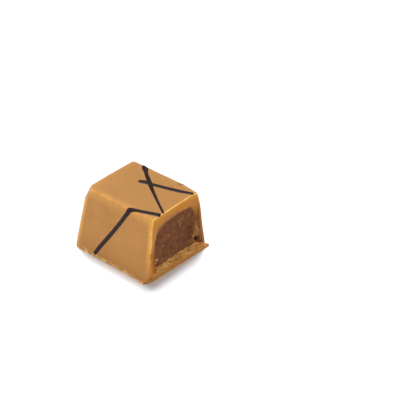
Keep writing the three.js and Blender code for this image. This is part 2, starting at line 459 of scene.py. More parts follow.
@dataclass(frozen=True)
class CutOutline:
    """Line between the shell and what it holds, as the cut shows it, across and up."""

    mould: Mould
    foot_front: tuple[Pair, ...] = ((-7.85, 0.45), (-7.4, 2.2))
    arch: tuple[Pair, ...] = (
        (-6.75, 3.1), (-7.3, 4.5), (-7.2, 6.4), (-6.85, 8.6), (-6.45, 9.9), (-5.8, 11.1), (-4.9, 12.0),
        (-3.5, 12.5), (-1.5, 12.85), (0.4, 12.75), (2.4, 12.4), (4.6, 12.15), (5.5, 11.3), (6.3, 10.1),
        (6.8, 9.0), (6.6, 8.1), (5.8, 7.1), (5.5, 6.1), (5.3, 5.0), (5.6, 3.1),
    )
    foot_back: tuple[Pair, ...] = ((7.1, 2.2), (7.9, 0.45))
    wavers: tuple[Grain, Grain] = (Grain(21, 0.7, 0.1), Grain(22, 0.7, 0.1))
    shoulder: float = 11.5
    core_steps: int = 12

    def ragged(self, line: Points) -> Points:
        """Line with the small waver that the knife left."""
        places = at_height(line, 0.0)
        return line + np.stack([waver.at(places) for waver in self.wavers], axis=1)

    def shell_half(self, hand: int, count: int) -> Points:
        """Half of the line from a foot to the middle of the roof.

        Args:
            hand: -1 for the front half and 1 for the back half.
            count: Points in the half.

        Returns:
            The points, across and up.
        """
        whole = smooth_line([*self.foot_front, *self.arch, *self.foot_back])
        top = int(np.argmin(np.abs(whole[:, 0]) - whole[:, 1]))
        half = whole[: top + 1] if hand < 0 else whole[top:][::-1]
        return self.ragged(resample(half, count))

    def filling_arch(self) -> Points:
        """The line over the filling from its front foot to its back foot."""
        return self.ragged(smooth_line(self.arch))

    def core_half(self, gap: float, low: float) -> Points:
        """Half of the hollow's own section, deep behind the cut.

        Args:
            gap: How far inside the hollow the line lies.
            low: Height of its foot.

        Returns:
            Points from the foot to the middle of the roof: half width and height.
        """
        mould = self.mould
        top = mould.height - mould.roof - gap
        turn = np.linspace(0, QUARTER, self.core_steps)
        z = top - mould.cavity_edge * (1 - np.sin(turn))
        half = mould.half_width(z) - mould.wall - gap - mould.cavity_edge * (1 - np.cos(turn))
        foot = (mould.half_width(low) - mould.wall - gap, low)
        return np.vstack([foot, np.column_stack([half, z]), (0.0, top)])


class Tint(Enum):
    """Tints of the small marks on the cut, named as their masks."""

    DRAG = "drag"
    CRUMB = "crumb"
    RED = "red"
    RUST = "rust"
    DARK = "dark"
    PALE = "pale"


@dataclass(frozen=True)
class Spot:
    """Small mark on the cut: its middle across and up, its radii, turn, strength and height."""

    y: float
    z: float
    wide: float
    high: float
    turn: float
    strength: float
    height: float = 0.0

    BORDER = Grain(71, 0.5, 0.3)
    FADE = Ramp(1.1, 0.5)

    def cover(self, y: Points, z: Points) -> Points:
        """How much of the mark lies at each place.

        Args:
            y: Places across.
            z: Places up.

        Returns:
            Values from 0 to 1 with a ragged border.
        """
        turn = math.radians(self.turn)
        right, up = y - self.y, z - self.z
        along = (right * math.cos(turn) + up * math.sin(turn)) / self.wide
        across = (up * math.cos(turn) - right * math.sin(turn)) / self.high
        return self.FADE.at(np.hypot(along, across) + self.BORDER.at(on_cut(y, z)))


@dataclass(frozen=True)
class CutMarks:
    """Marks of one tint on the cut."""

    tint: Tint
    spots: tuple[Spot, ...]

    @classmethod
    def of(cls, tint: Tint, *rows: tuple[float, ...]) -> "CutMarks":
        """Marks of a tint from the sizes of each spot."""
        return cls(tint, tuple(Spot(*row) for row in rows))

    def mask(self, y: Points, z: Points) -> Points:
        """Mask of the marks from 0 to 1."""
        return np.max([spot.strength * spot.cover(y, z) for spot in self.spots], axis=0)

    def relief(self, y: Points, z: Points) -> Points:
        """How far the marks stand out from the cut."""
        return sum((spot.height * spot.cover(y, z) for spot in self.spots if spot.height), 0 * y)


# Drag along the edge of the filling, crumbs, reddish smears, reddish brown smears with painted shade below
# the pit and over the lower back of the filling, painted shade in the pit and crevices, and pale nut flecks
MARKS = (
    CutMarks.of(
        Tint.DRAG,
        (-1.3, 12.7, 2.6, 0.58, 0, 0.9),
        (-4.1, 12.25, 1.3, 0.42, 22, 0.85),
        (-5.7, 11.35, 1.0, 0.36, 48, 0.8),
        (-6.55, 9.8, 1.1, 0.34, 68, 0.7),
        (-7.05, 8.0, 1.4, 0.4, 82, 0.6),
        (-7.35, 6.2, 1.0, 0.4, 85, 0.6),
    ),
    CutMarks.of(
        Tint.CRUMB,
        (6.3, 6.2, 0.8, 1.4, 8, 0.95, 0.06),
        (7.1, 5.2, 0.9, 1.2, 20, 0.6),
        (7.7, 3.9, 0.8, 1.2, 20, 0.4),
        (6.5, 7.1, 1.0, 0.45, 30, 0.9, 0.08),
        (-6.2, 4.7, 0.5, 0.4, 0, 0.6, 0.15),
    ),
    CutMarks.of(
        Tint.RED,
        (4.4, 10.5, 0.9, 0.6, 0, 0.3),
        (5.9, 9.4, 0.5, 0.8, 0, 0.3),
        (-3.9, 8.6, 1.2, 0.8, 0, 0.25),
        (1.9, 11.5, 0.7, 0.35, 0, 0.3),
        (0.1, 9.8, 0.35, 0.25, 0, 0.4),
        (-5.6, 5.6, 0.9, 0.7, 0, 0.3),
        (4.6, 4.1, 1.6, 0.7, 0, 0.25),
        (-7.6, 5.9, 0.85, 1.5, 8, 0.75),
        (-7.2, 4.2, 1.05, 1.3, 15, 0.8),
        (-6.95, 2.9, 0.95, 1.0, 15, 0.85),
        (-6.75, 2.0, 0.75, 0.6, 0, 0.95),
        (7.3, 3.9, 0.5, 0.8, 0, 0.8),
        (-8.3, 0.9, 0.8, 0.4, 0, 0.6),
    ),
    # Reddish brown smears, darkened as painted shade below the pit and over the lower back of the filling
    CutMarks.of(
        Tint.RUST,
        (-6.6, 2.2, 0.35, 0.3, 0, 0.6),
        (-6.9, 3.6, 0.5, 0.4, 0, 0.4),
        (6.5, 3.3, 1.1, 0.5, -12, 0.95),
        (7.3, 2.7, 1.1, 0.4, -30, 0.9),
        (8.2, 2.1, 0.9, 0.3, -35, 0.35),
        (6.9, 3.8, 0.6, 0.6, 0, 0.9),
        (4.6, 6.2, 1.9, 2.4, 0, 0.45),
        (2.6, 4.6, 2.0, 1.4, 0, 0.2),
        (-1.0, 12.15, 2.4, 0.3, 0, 0.35),
        (5.3, 10.0, 0.6, 1.0, 0, 0.35),
    ),
    # Painted shade in the pit and in the crevices under the filling, and a dark speck in the paste
    CutMarks.of(
        Tint.DARK,
        (6.15, 4.0, 0.62, 0.42, -30, 1.0, -0.8),
        (5.8, 4.4, 0.6, 0.24, 20, 0.8),
        (-6.2, 3.5, 0.45, 0.34, 0, 0.7),
        (-4.2, 3.35, 0.5, 0.28, 0, 0.5),
        (-2.0, 3.45, 0.45, 0.3, 0, 0.5),
        (1.7, 3.2, 0.5, 0.2, 0, 0.4),
        (0.25, 9.7, 0.35, 0.22, 0, 0.35),
    ),
    CutMarks.of(
        Tint.PALE,
        (1.4, 9.5, 0.16, 0.42, -15, 0.55, 0.05),
        (1.3, 10.35, 0.42, 0.16, 10, 0.45, 0.05),
        (2.0, 10.7, 0.5, 0.16, 25, 0.45, 0.05),
        (2.6, 10.95, 0.26, 0.22, 0, 0.4, 0.05),
        (2.9, 12.1, 0.18, 0.28, 0, 0.5, 0.05),
        (-2.55, 8.9, 0.2, 0.4, -30, 0.4, 0.05),
        (-3.9, 10.0, 0.16, 0.18, 0, 0.35, 0.05),
        (-3.3, 9.3, 0.45, 0.14, -35, 0.35, 0.05),
        (-4.1, 7.0, 0.28, 0.17, -30, 0.4, 0.05),
        (-0.3, 10.6, 0.34, 0.2, 0, 0.2, 0.05),
        (-7.5, 9.2, 0.24, 1.3, 12, 0.35),
        (-6.35, 4.85, 0.36, 0.26, 0, 0.8, 0.1),
        (5.2, 4.85, 0.32, 0.14, -40, 0.6, 0.05),
        (5.95, 4.35, 0.2, 0.12, 0, 0.6, 0.05),
        (6.3, 6.6, 0.16, 0.9, 25, 0.5, 0.05),
        (6.9, 5.6, 0.14, 0.9, 25, 0.4, 0.05),
        (-4.1, 2.75, 0.4, 0.34, 0, 0.8, 0.12),
        (-3.6, 2.2, 0.28, 0.6, 20, 0.8, 0.1),
        (-3.1, 1.7, 0.45, 0.26, 0, 0.7, 0.1),
        (-7.3, 1.3, 0.55, 0.3, 0, 0.6),
    ),
)


def mark_masks(y: Points, z: Points) -> Masks:
    """Masks of all marks on the cut by the name of their tint."""
    return {marks.tint.value: marks.mask(y, z) for marks in MARKS}


def mark_relief(y: Points, z: Points) -> Points:
    """How far all marks stand out from the cut."""
    return sum(marks.relief(y, z) for marks in MARKS)


# Finishes


class NodeChain:
    """Short ways to place and link shader nodes in one tree."""

    def __init__(self, tree: bpy.types.NodeTree) -> None:
        """Takes the tree that the nodes go into."""
        self.tree = tree

    def add(self, kind: str, values: dict | None = None, **settings: object) -> bpy.types.Node:
        """Places a node.

        Args:
            kind: Type name of the node.
            values: Input name or number to a plain value or to an output to link.
            settings: Properties of the node.

        Returns:
            The node.
        """
        node = self.tree.nodes.new(kind)
        for key, value in settings.items():
            setattr(node, key, value)
        for key, value in (values or {}).items():
            if isinstance(value, Socket):
                self.tree.links.new(value, node.inputs[key])
            else:
                node.inputs[key].default_value = value
        return node

    def blend(self, start: Socket | Colour, end: Colour, share: Socket) -> Socket:
        """Mixes two colours by a share."""
        return self.add("ShaderNodeMix", {6: start, 7: end, 0: share}, data_type="RGBA").outputs[2]

    def between(self, start: Socket, end: Socket, share: Socket) -> Socket:
        """Mixes two values by a share."""
        return self.add("ShaderNodeMix", {0: share, 2: start, 3: end}, data_type="FLOAT").outputs[0]

    def stretch(self, value: Socket, source: Pair, target: Pair = (0.0, 1.0)) -> Socket:
        """Maps one range of a value to another and holds it there."""
        ends = {"From Min": source[0], "From Max": source[1], "To Min": target[0], "To Max": target[1]}
        return self.add("ShaderNodeMapRange", {"Value": value} | ends).outputs[0]

    def sum(self, operation: str, first: Socket | float, second: Socket | float) -> Socket:
        """Works out one sum, held between 0 and 1."""
        values = {0: first, 1: second}
        return self.add("ShaderNodeMath", values, operation=operation, use_clamp=True).outputs[0]

    def noise(self, place: Socket, scale: float, detail: float, roughness: float) -> Socket:
        """Cloudy noise between 0 and 1."""
        values = {"Vector": place, "Scale": scale, "Detail": detail, "Roughness": roughness}
        return self.add("ShaderNodeTexNoise", values).outputs[0]

    def mask(self, name: str) -> Socket:
        """Reads a surface mask."""
        return self.add("ShaderNodeAttribute", attribute_name=name).outputs["Fac"]


@dataclass(frozen=True)
class Effect:
    """Effect that more than one finish uses: a shader node group with a size and a share."""

    name: str
    output: str

    def group(self) -> bpy.types.NodeTree:
        """The effect's node group, built on first use.

        Returns:
            The group, whose inputs are Position in metres, Size in millimetres and Share.
        """
        known = bpy.data.node_groups.get(self.name)
        if known:
            return known
        tree = bpy.data.node_groups.new(self.name, "ShaderNodeTree")
        tree.interface.new_socket("Position", in_out="INPUT", socket_type="NodeSocketVector")
        tree.interface.new_socket("Size", in_out="INPUT", socket_type="NodeSocketFloat")
        tree.interface.new_socket("Share", in_out="INPUT", socket_type="NodeSocketFloat")
        tree.interface.new_socket(self.output, in_out="OUTPUT", socket_type="NodeSocketFloat")
        chain = NodeChain(tree)
        start = chain.add("NodeGroupInput").outputs
        per_metre = chain.add("ShaderNodeMath", {0: MM_PER_M, 1: start["Size"]}, operation="DIVIDE")
        values = {0: start["Position"], "Scale": per_metre.outputs[0]}
        place = chain.add("ShaderNodeVectorMath", values, operation="SCALE").outputs[0]
        chain.add("NodeGroupOutput", {self.output: self.wire(chain, place, start["Share"])})
        return tree

    def wire(self, chain: NodeChain, place: Socket, share: Socket) -> Socket:
        """Places the effect's own nodes.

        Args:
            chain: Chain of the group's tree.
            place: Position in units of the effect's size.
            share: Share of the effect's stronger part.

        Returns:
            The effect's output.
        """
        raise NotImplementedError

    def use(self, chain: NodeChain, place: Socket, size: float, share: float) -> Socket:
        """Places the effect in a material, with its size in millimetres and its share."""
        values = {"Position": place, "Size": size, "Share": share}
        return chain.add("ShaderNodeGroup", values, node_tree=self.group()).outputs[0]


@dataclass(frozen=True)
class Mottle(Effect):
    """Soft clouds in two sizes, more of the small ones by share.

    Each size has a scale, a detail and a roughness.
    """

    name: str = "chocolate_mottle"
    output: str = "Mottle"
    large: Place = (1.0, 2.0, 0.5)
    small: Place = (5.0, 3.0, 0.6)
    contrast: Pair = (0.3, 0.7)

    def wire(self, chain: NodeChain, place: Socket, share: Socket) -> Socket:
        """Places both clouds and raises their contrast."""
        clouds = [chain.noise(place, *sizes) for sizes in (self.large, self.small)]
        return chain.stretch(chain.between(*clouds, share), self.contrast)


@dataclass(frozen=True)
class Specks(Effect):
    """Scattered dots in a share of the cells."""

    name: str = "fine_specks"
    output: str = "Specks"
    dot: Pair = (0.5, 0.2)

    def wire(self, chain: NodeChain, place: Socket, share: Socket) -> Socket:
        """Draws the cells that hold a dot, and the dots.

        Args:
            chain: Chain of the group's tree.
            place: Position in units of the effect's size.
            share: Share of the cells that hold a dot.

        Returns:
            The dots, 1 in their middles.
        """
        cells = chain.add("ShaderNodeTexVoronoi", {"Vector": place, "Scale": 1.0}).outputs
        draw = chain.add("ShaderNodeSeparateColor", {0: cells["Color"]}).outputs[0]
        chosen = chain.add("ShaderNodeMath", {0: draw, 1: share}, operation="LESS_THAN").outputs[0]
        return chain.sum("MULTIPLY", chosen, chain.stretch(cells["Distance"], self.dot))


@dataclass(frozen=True)
class Crumble(Effect):
    """Fine crumbs over soft dents, more of the crumbs by share."""

    name: str = "surface_grain"
    output: str = "Height"
    dents: Place = (1.0, 4.0, 0.6)
    crumb_scale: float = 2.0

    def wire(self, chain: NodeChain, place: Socket, share: Socket) -> Socket:
        """Places the dents and the crumbs.

        Args:
            chain: Chain of the group's tree.
            place: Position in units of the effect's size.
            share: Share of the crumbs.

        Returns:
            Their height.
        """
        dents = chain.noise(place, *self.dents)
        values = {"Vector": place, "Scale": self.crumb_scale}
        crumbs = chain.add("ShaderNodeTexVoronoi", values, feature="SMOOTH_F1").outputs[0]
        return chain.between(dents, crumbs, share)


@dataclass(frozen=True)
class Finish:
    """Finish of one kind of chocolate or paste."""

    name: str
    slot: str
    light: Colour
    dark: Colour
    speck: Colour
    tints: tuple[tuple[str, Colour], ...] = ()
    # Sizes and shares of the effects
    mottle_size: float = 4.0
    mottle_share: float = 0.35
    speck_size: float = 0.45
    speck_share: float = 0.1
    speck_strength: float = 0.5
    grain_size: float = 0.4
    grain_share: float = 0.3
    grain_height: float = 0.012
    # Sheen and translucency
    roughness: Pair = (0.42, 0.55)
    specular: float = 0.4
    coat: float = 0.0
    coat_off: str = ""
    coat_roughness: float = 0.35
    translucency: float = 0.0
    bleed: Place = (1.0, 0.5, 0.22)
    depth: float = 0.6

    def material(self) -> bpy.types.Material:
        """The finish's material, built on first use.

        Returns:
            The material.
        """
        known = bpy.data.materials.get(self.name)
        if known:
            return known
        made = bpy.data.materials.new(self.name)
        made.use_nodes = True
        made.node_tree.nodes.clear()
        chain = NodeChain(made.node_tree)
        place = chain.add("ShaderNodeTexCoord").outputs["Object"]
        mottle = Mottle().use(chain, place, self.mottle_size, self.mottle_share)
        specks = Specks().use(chain, place, self.speck_size, self.speck_share)
        height = Crumble().use(chain, place, self.grain_size, self.grain_share)
        bump = {"Height": height, "Distance": self.grain_height * MM, "Strength": 1.0}
        shader = {
            "Base Color": self.colour(chain, mottle, specks),
            "Roughness": chain.stretch(mottle, (0.0, 1.0), self.roughness),
            "Normal": chain.add("ShaderNodeBump", bump).outputs[0],
            "Specular IOR Level": self.specular,
            "Coat Weight": self.sheen(chain),
            "Coat Roughness": self.coat_roughness,
            "Subsurface Weight": self.translucency,
            "Subsurface Radius": self.bleed,
            "Subsurface Scale": self.depth * MM,
        }
        surface = chain.add("ShaderNodeBsdfPrincipled", shader).outputs[0]
        chain.add("ShaderNodeOutputMaterial", {"Surface": surface})
        return made

    def colour(self, chain: NodeChain, mottle: Socket, specks: Socket) -> Socket:
        """Mottled colour with its tints by mask and its specks on top.

        Args:
            chain: Chain of the material's tree.
            mottle: Output of the mottle.
            specks: Output of the specks.

        Returns:
            The colour.
        """
        colour = chain.blend(self.dark, self.light, mottle)
        for mask, tint in self.tints:
            colour = chain.blend(colour, tint, chain.mask(mask))
        return chain.blend(colour, self.speck, chain.sum("MULTIPLY", specks, self.speck_strength))

    def sheen(self, chain: NodeChain) -> Socket | float:
        """Weight of the satin coat, which a mask may take off.

        Args:
            chain: Chain of the material's tree.

        Returns:
            The weight, one value where no mask takes it off.
        """
        if not self.coat_off:
            return self.coat
        bare = chain.sum("SUBTRACT", 1.0, chain.mask(self.coat_off))
        return chain.sum("MULTIPLY", bare, self.coat)


MARK_TINTS = (
    (Tint.DRAG.value, tone(148, 108, 70)),
    (Tint.CRUMB.value, tone(134, 95, 52)),
    (Tint.RED.value, tone(146, 84, 34)),
    # Reddish brown smears with painted shade
    (Tint.RUST.value, tone(76, 38, 16)),
    # Painted shade in the pit and crevices
    (Tint.DARK.value, tone(30, 14, 5)),
    (Tint.PALE.value, tone(186, 138, 94)),
)

BLOND = Finish(
    name="satin_blond",
    slot="blond_chocolate",
    light=tone(178, 127, 68),
    dark=tone(166, 115, 58),
    speck=tone(206, 160, 100),
    tints=(
        # Painted sheen on the faces that look up
        ("painted_top_sheen", tone(175, 127, 73)),
        # Painted highlights and glow along the outside's edges and corners
        ("edge", tone(226, 165, 82)),
        ("smudge", tone(96, 84, 68)),
        ("cut", tone(174, 115, 50)),
        ("gold", tone(206, 138, 42)),
        # Painted shade over the back of the cut and low on the walls
        ("painted_shade", tone(100, 62, 28)),
        # Painted highlight on the rolled edge beside the cut
        ("painted_strip", tone(206, 149, 66)),
        ("glint", tone(250, 222, 168)),
        ("trim", tone(226, 178, 116)),
        ("smear", tone(116, 70, 36)),
        *MARK_TINTS,
    ),
    speck_size=0.3,
    speck_share=0.09,
    speck_strength=0.4,
    grain_height=0.02,
    specular=0.03,
    coat=0.25,
    coat_off="cut",
    translucency=0.2,
)

DARK = Finish(
    name="piped_dark",
    slot="dark_chocolate",
    light=tone(42, 27, 22),
    dark=tone(31, 18, 14),
    speck=tone(54, 40, 37),
    mottle_size=1.5,
    speck_share=0.05,
    grain_height=0.008,
    roughness=(0.4, 0.5),
    specular=0.15,
)

PASTE = Finish(
    name="grainy_paste",
    slot="nut_filling",
    light=tone(112, 71, 45),
    dark=tone(90, 55, 35),
    speck=tone(128, 76, 46),
    tints=(("smear", tone(150, 100, 52)), *MARK_TINTS),
    mottle_size=1.6,
    mottle_share=0.5,
    speck_size=0.3,
    speck_share=0.25,
    grain_size=0.22,
    grain_share=0.5,
    grain_height=0.05,
    roughness=(0.7, 0.85),
    specular=0.06,
)

BREAK = Finish(
    name="broken_base",
    slot="base_chocolate",
    light=tone(174, 119, 59),
    dark=tone(160, 106, 50),
    speck=tone(200, 156, 102),
    tints=(
        ("rough", tone(168, 117, 60)),
        ("edge", tone(180, 130, 74)),
        # Pale fibres of the break, and the painted highlight along the ledge's top
        ("streak", tone(198, 152, 92)),
        ("trim", tone(226, 178, 116)),
        ("smear", tone(104, 60, 30)),
        *MARK_TINTS,
    ),
    mottle_size=1.8,
    mottle_share=0.5,
    speck_size=0.35,
    speck_share=0.15,
    speck_strength=0.3,
    grain_size=0.25,
    grain_share=0.4,
    grain_height=0.03,
    roughness=(0.55, 0.72),
    specular=0.06,
)


# Meshes


class MeshDraft:
    """Points, faces and surface masks of one piece."""

    def __init__(self, finish: Finish) -> None:
        """Starts an empty piece.

        Args:
            finish: Finish of the piece, which has a mask for each of its tints.
        """
        self._finish = finish
        self._points: list[Points] = []
        self._faces: list[list[int]] = []
        self._masks: dict[str, list[Points]] = {mask: [] for mask, _ in finish.tints}
        self._count = 0

    def add_points(self, points: Points, **masks: Values) -> Points:
        """Adds points.

        Args:
            points: Places, the last axis being x, y and z.
            masks: Values of the named masks at the points; a mask that is left out is 0.

        Returns:
            The points' numbers, in the shape of the given array.
        """
        shape = points.shape[:-1]
        total = int(np.prod(shape))
        self._points.append(points.reshape(-1, 3))
        for name, values in self._masks.items():
            values.append(np.broadcast_to(masks.get(name, 0.0), shape).reshape(-1))
        index = np.arange(self._count, self._count + total).reshape(shape)
        self._count += total
        return index

    def add_grid(self, index: Points, closed: bool = False) -> None:
        """Adds a face between every four neighbours of a grid of point numbers.

        Args:
            index: Numbers of the points, row by row.
            closed: Whether the last column joins the first.
        """
        grid = np.hstack([index, index[:, :1]]) if closed else index
        corners = [grid[:-1, :-1], grid[:-1, 1:], grid[1:, 1:], grid[1:, :-1]]
        self._faces.extend(np.stack(corners, axis=-1).reshape(-1, 4).tolist())

    def add_face(self, index: Points) -> None:
        """Adds one face with any number of corners."""
        self._faces.append([int(number) for number in index])

    def add_zip(self, row: Points) -> None:
        """Closes a loop that has folded onto its middle line."""
        half = len(row) // 2
        self.add_grid(np.stack([row[:half], row[: half - 1 : -1]]))

    def build(self, name: str, mould: Mould, sharp: float) -> bpy.types.Object:
        """Makes the piece's object, rides it on the body and dresses it.

        Args:
            name: Name of the piece.
            mould: Mould whose frame the points are in.
            sharp: Angle in degrees from which an edge shows as an edge.

        Returns:
            The new object.
        """
        finish = self._finish
        mesh = bpy.data.meshes.new(name)
        mesh.from_pydata(mould.to_part(np.vstack(self._points)).tolist(), [], self._faces)
        shape = bmesh.new()
        shape.from_mesh(mesh)
        bmesh.ops.recalc_face_normals(shape, faces=shape.faces)
        shape.to_mesh(mesh)
        shape.free()
        mesh.polygons.foreach_set("use_smooth", [True] * len(mesh.polygons))
        mesh.set_sharp_from_angle(angle=math.radians(sharp))
        for mask, values in self._masks.items():
            layer = mesh.attributes.new(mask, "FLOAT", "POINT")
            layer.data.foreach_set("value", np.concatenate(values).astype(np.float32))
        mesh.materials.append(finish.material())
        piece = bpy.data.objects.new(name, mesh)
        bpy.context.scene.collection.objects.link(piece)
        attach(piece, BODY)
        return piece


# The shell


@dataclass(frozen=True)
class OuterRow:
    """Level row of the shell's outside: its height, inset, reach, normal's lean, corner radii and points."""

    z: float
    inset: float
    reach: float
    lean: float
    corner: float
    worn: float
    points: Points
    normal: Points


@dataclass(frozen=True)
class Band:
    """Rows from the shell's outside over its rolled edge and across the cut to its hollow.

    Each has its places across and up, how far it is set back from the cut, and its shares of the way
    over the roll and across the flat cut. Along the rim go the hand, the share of the way from a wall
    to the top, and the height.
    """

    y: Points
    z: Points
    setback: Points
    roll: Points
    depth: Points
    hand: Points
    top: Points
    height: Points

    @property
    def rolling(self) -> Points:
        """Whether a row lies on the rolled edge."""
        return self.depth == 0


@dataclass(frozen=True)
class PaintedStripHighlight:
    """Painted golden highlight strip beside the cut, which fades towards the foot."""

    foot: Ramp = Ramp(0.4, 2.4)
    rise: Ramp = Ramp(2.0, 8.5)
    brightness: Pair = (0.25, 0.95)

    def strength(self, z: Values) -> Values:
        """How bright the strip is at a height."""
        return self.foot.at(z) * mix(*self.brightness, self.rise.at(z))


@dataclass(frozen=True)
class OutsideTints:
    """Masks of the shell's outside: painted sheen on top, painted highlights along its edges and beside the
    cut, a smudge, the trimmed foot and painted shade low on the walls.
    """

    painted_strip: PaintedStripHighlight = PaintedStripHighlight()
    patches: Patches = Patches(Grain(36, 1.8), Ramp(-0.25, 0.4))
    # Painted highlights and glow along the edges and corners
    line: float = 0.5
    corner: float = 0.95
    beside_corner: Pair = (0.35, 0.6)
    glow: Hump = Hump(0.0, 0.9, 0.3)
    glow_near_cut: Ramp = Ramp(-4.0, 0.0)
    glow_patch: float = 0.5
    glow_behind: float = 0.4
    glow_end: float = 0.8
    # Painted highlight strip, smudge, trimmed foot, painted shade low on the walls and painted sheen on top
    strip_fade: Ramp = Ramp(0.25, 0.0, 0.75)
    smudge_along: Hump = Hump(-4.0, 0.55, 0.85)
    smudge_across: Hump = Hump(6.7, 0.35)
    smudge_from: float = 14.0
    trim: float = 0.8
    shade: Ramp = Ramp(7.0, 0.5, 0.13)
    # Painted sheen on the top, strongest where the outside looks up
    painted_top_sheen: float = 0.6

    def edge(self, mould: Mould, row: OuterRow) -> Points:
        """How much painted highlight each point of a row gets along the edges and corners.

        Args:
            mould: Mould of the shell.
            row: Row of the outside.

        Returns:
            Values from 0 to 1.
        """
        x, (end, side) = row.points[:, 0], row.normal.T
        patchy = self.patches.at(row.points)
        line = self.line * math.sin(2 * row.lean) * patchy
        beside = Hump(row.worn, *self.beside_corner).at(x + row.reach) * (side < 0)
        corner = np.maximum(self.corner * np.abs(2 * end * side), beside)
        corner = corner * math.cos(row.lean) * (row.corner / row.worn) ** 2
        radius = mould.edge_radius
        glow = self.glow.at(max(mould.height - radius - row.z, row.inset - radius, 0.0))
        glow = glow * mix(self.glow_patch, 1.0, patchy) * (1 + self.glow_near_cut.at(x))
        facing = np.maximum(-side, -self.glow_end * end).clip(0.0)
        return np.maximum(np.maximum(line, glow * mix(self.glow_behind, 1.0, facing)), corner)

    def masks(self, mould: Mould, rows: list[OuterRow], outer: Points) -> Masks:
        """Masks of the whole outside.

        Args:
            mould: Mould of the shell.
            rows: Rows of the outside.
            outer: Their points as they stand on the worn outside.

        Returns:
            Mask name to values from 0 to 1.
        """
        x, y, z = np.moveaxis(outer, -1, 0)
        lean = np.array([row.lean for row in rows])[:, None]
        near_cut = self.strip_fade.at(mould.cut(y, z) - mould.roll_front[0] - x)
        return {
            "painted_top_sheen": self.painted_top_sheen * np.sin(lean) ** 2,
            # Painted highlights along the edges and corners
            "edge": np.stack([self.edge(mould, row) for row in rows]),
            # Painted highlight strip on the wall beside the cut
            "painted_strip": near_cut * (y < 0) * np.cos(lean) * self.painted_strip.strength(z),
            "smudge": self.smudge_along.at(x) * self.smudge_across.at(y) * (z > self.smudge_from),
            "trim": self.trim * mould.trim(outer),
            # Painted shade, darker towards the foot
            "painted_shade": self.shade.at(z),
        }


@dataclass(frozen=True)
class BandTints:
    """Masks of the shell's rolled edge and of its cut."""

    painted_strip: PaintedStripHighlight = PaintedStripHighlight()
    patches: Patches = Patches(Grain(33, 1.1), Ramp(-0.3, 0.3))
    # Painted highlight strip over the rolled edge, and the glint along its crease
    cut_rise: Ramp = Ramp(0.3, 1.0)
    strip_rise: Ramp = Ramp(0.0, 0.6)
    strip_front: float = 0.75
    strip_back: Ramp = Ramp(6.0, 11.0)
    strip_top: float = 0.7
    strip_patch: float = 0.8
    crease_rise: Ramp = Ramp(0.45, 0.9)
    crease_fall: Hump = Hump(0.0, 0.06, 0.25)
    glint_front: Ramp = Ramp(3.0, 9.0, 0.22)
    glint_back: float = 0.3
    glint_top: Pair = (0.4, 0.9)
    # Painted shade over the back of the cut and at the feet of the rolled edge
    shade_start: float = 4.0
    shade_across: Ramp = Ramp(4.8, 7.4)
    shade_below: Ramp = Ramp(13.5, 8.5)
    shade_above: Ramp = Ramp(1.2, 3.4)
    shade_front_roll: Ramp = Ramp(5.5, 1.0, 0.3)
    shade_back_roll: Ramp = Ramp(13.0, 8.0, 0.85)
    # Flat cut
    gold_fade: Ramp = Ramp(0.45, 0.05)
    gold_patch: float = 0.7
    smear_waver: Grain = Grain(34, 0.8, 0.25)
    smear_rise: Ramp = Ramp(0.8, 1.15)
    crumb_patches: Patches = Patches(Grain(35, 0.6), Ramp(-0.3, 0.3))
    crumb_patch: float = 0.55

    def painted_strip_mask(self, band: Band) -> Points:
        """The painted golden highlight strip over the rolled edge.

        Args:
            band: Places of the band.

        Returns:
            Values from 0 to 1.
        """
        wall = np.where(band.hand < 0, self.painted_strip.strength(band.height), self.strip_back.at(band.height))
        start = np.where(band.hand < 0, self.strip_front, 0.0) * (1 - band.top)
        rise = mix(start, 1.0, self.strip_rise.at(band.roll))
        return rise * band.rolling * mix(wall, self.strip_top, band.top)

    def glint_mask(self, band: Band, patchy: Points) -> Points:
        """The pale glint along the crease between the rolled edge and the flat cut.

        Args:
            band: Places of the band.
            patchy: How much of a patch lies at each place.

        Returns:
            Values from 0 to 1.
        """
        crease = np.where(band.rolling, self.crease_rise.at(band.roll), self.crease_fall.at(band.depth))
        wall = np.where(band.hand < 0, self.glint_front.at(band.height), self.glint_back)
        return crease * mix(wall * patchy, mix(*self.glint_top, patchy), band.top)

    def painted_shade_mask(self, band: Band) -> Points:
        """Painted shade on the cut: over its back side, on the back rolled edge and at the foot of the front
        rolled edge.

        Args:
            band: Places of the band.

        Returns:
            Values from 0 to 1.
        """
        above = self.shade_above.at(band.z)
        flat = np.minimum(self.shade_start * band.depth, 1) * self.shade_across.at(band.y)
        front = self.shade_front_roll.at(band.z) * (band.hand < 0)
        back = self.shade_back_roll.at(band.z) * (band.hand > 0) * above
        return flat * self.shade_below.at(band.z) * above + band.rolling * (front + back)

    def masks(self, band: Band, marks: Masks) -> Masks:
        """All masks of the band.

        Args:
            band: Places of the band.
            marks: Masks of the marks at the same places.

        Returns:
            Mask name to values from 0 to 1.
        """
        flat = on_cut(band.y, band.z)
        patchy = self.patches.at(flat)
        crumbs = marks[Tint.CRUMB.value] * mix(self.crumb_patch, 1.0, self.crumb_patches.at(flat))
        gold = band.top * self.gold_fade.at(band.depth) * mix(self.gold_patch, 1.0, patchy)
        smear = self.smear_rise.at(band.depth + self.smear_waver.at(flat)) * (1 - crumbs)
        return marks | {
            Tint.CRUMB.value: crumbs,
            "cut": self.cut_rise.at(band.roll),
            "painted_strip": self.painted_strip_mask(band) * mix(self.strip_patch, 1.0, patchy),
            "glint": self.glint_mask(band, patchy),
            "painted_shade": self.painted_shade_mask(band),
            "gold": gold,
            "smear": smear,
        }


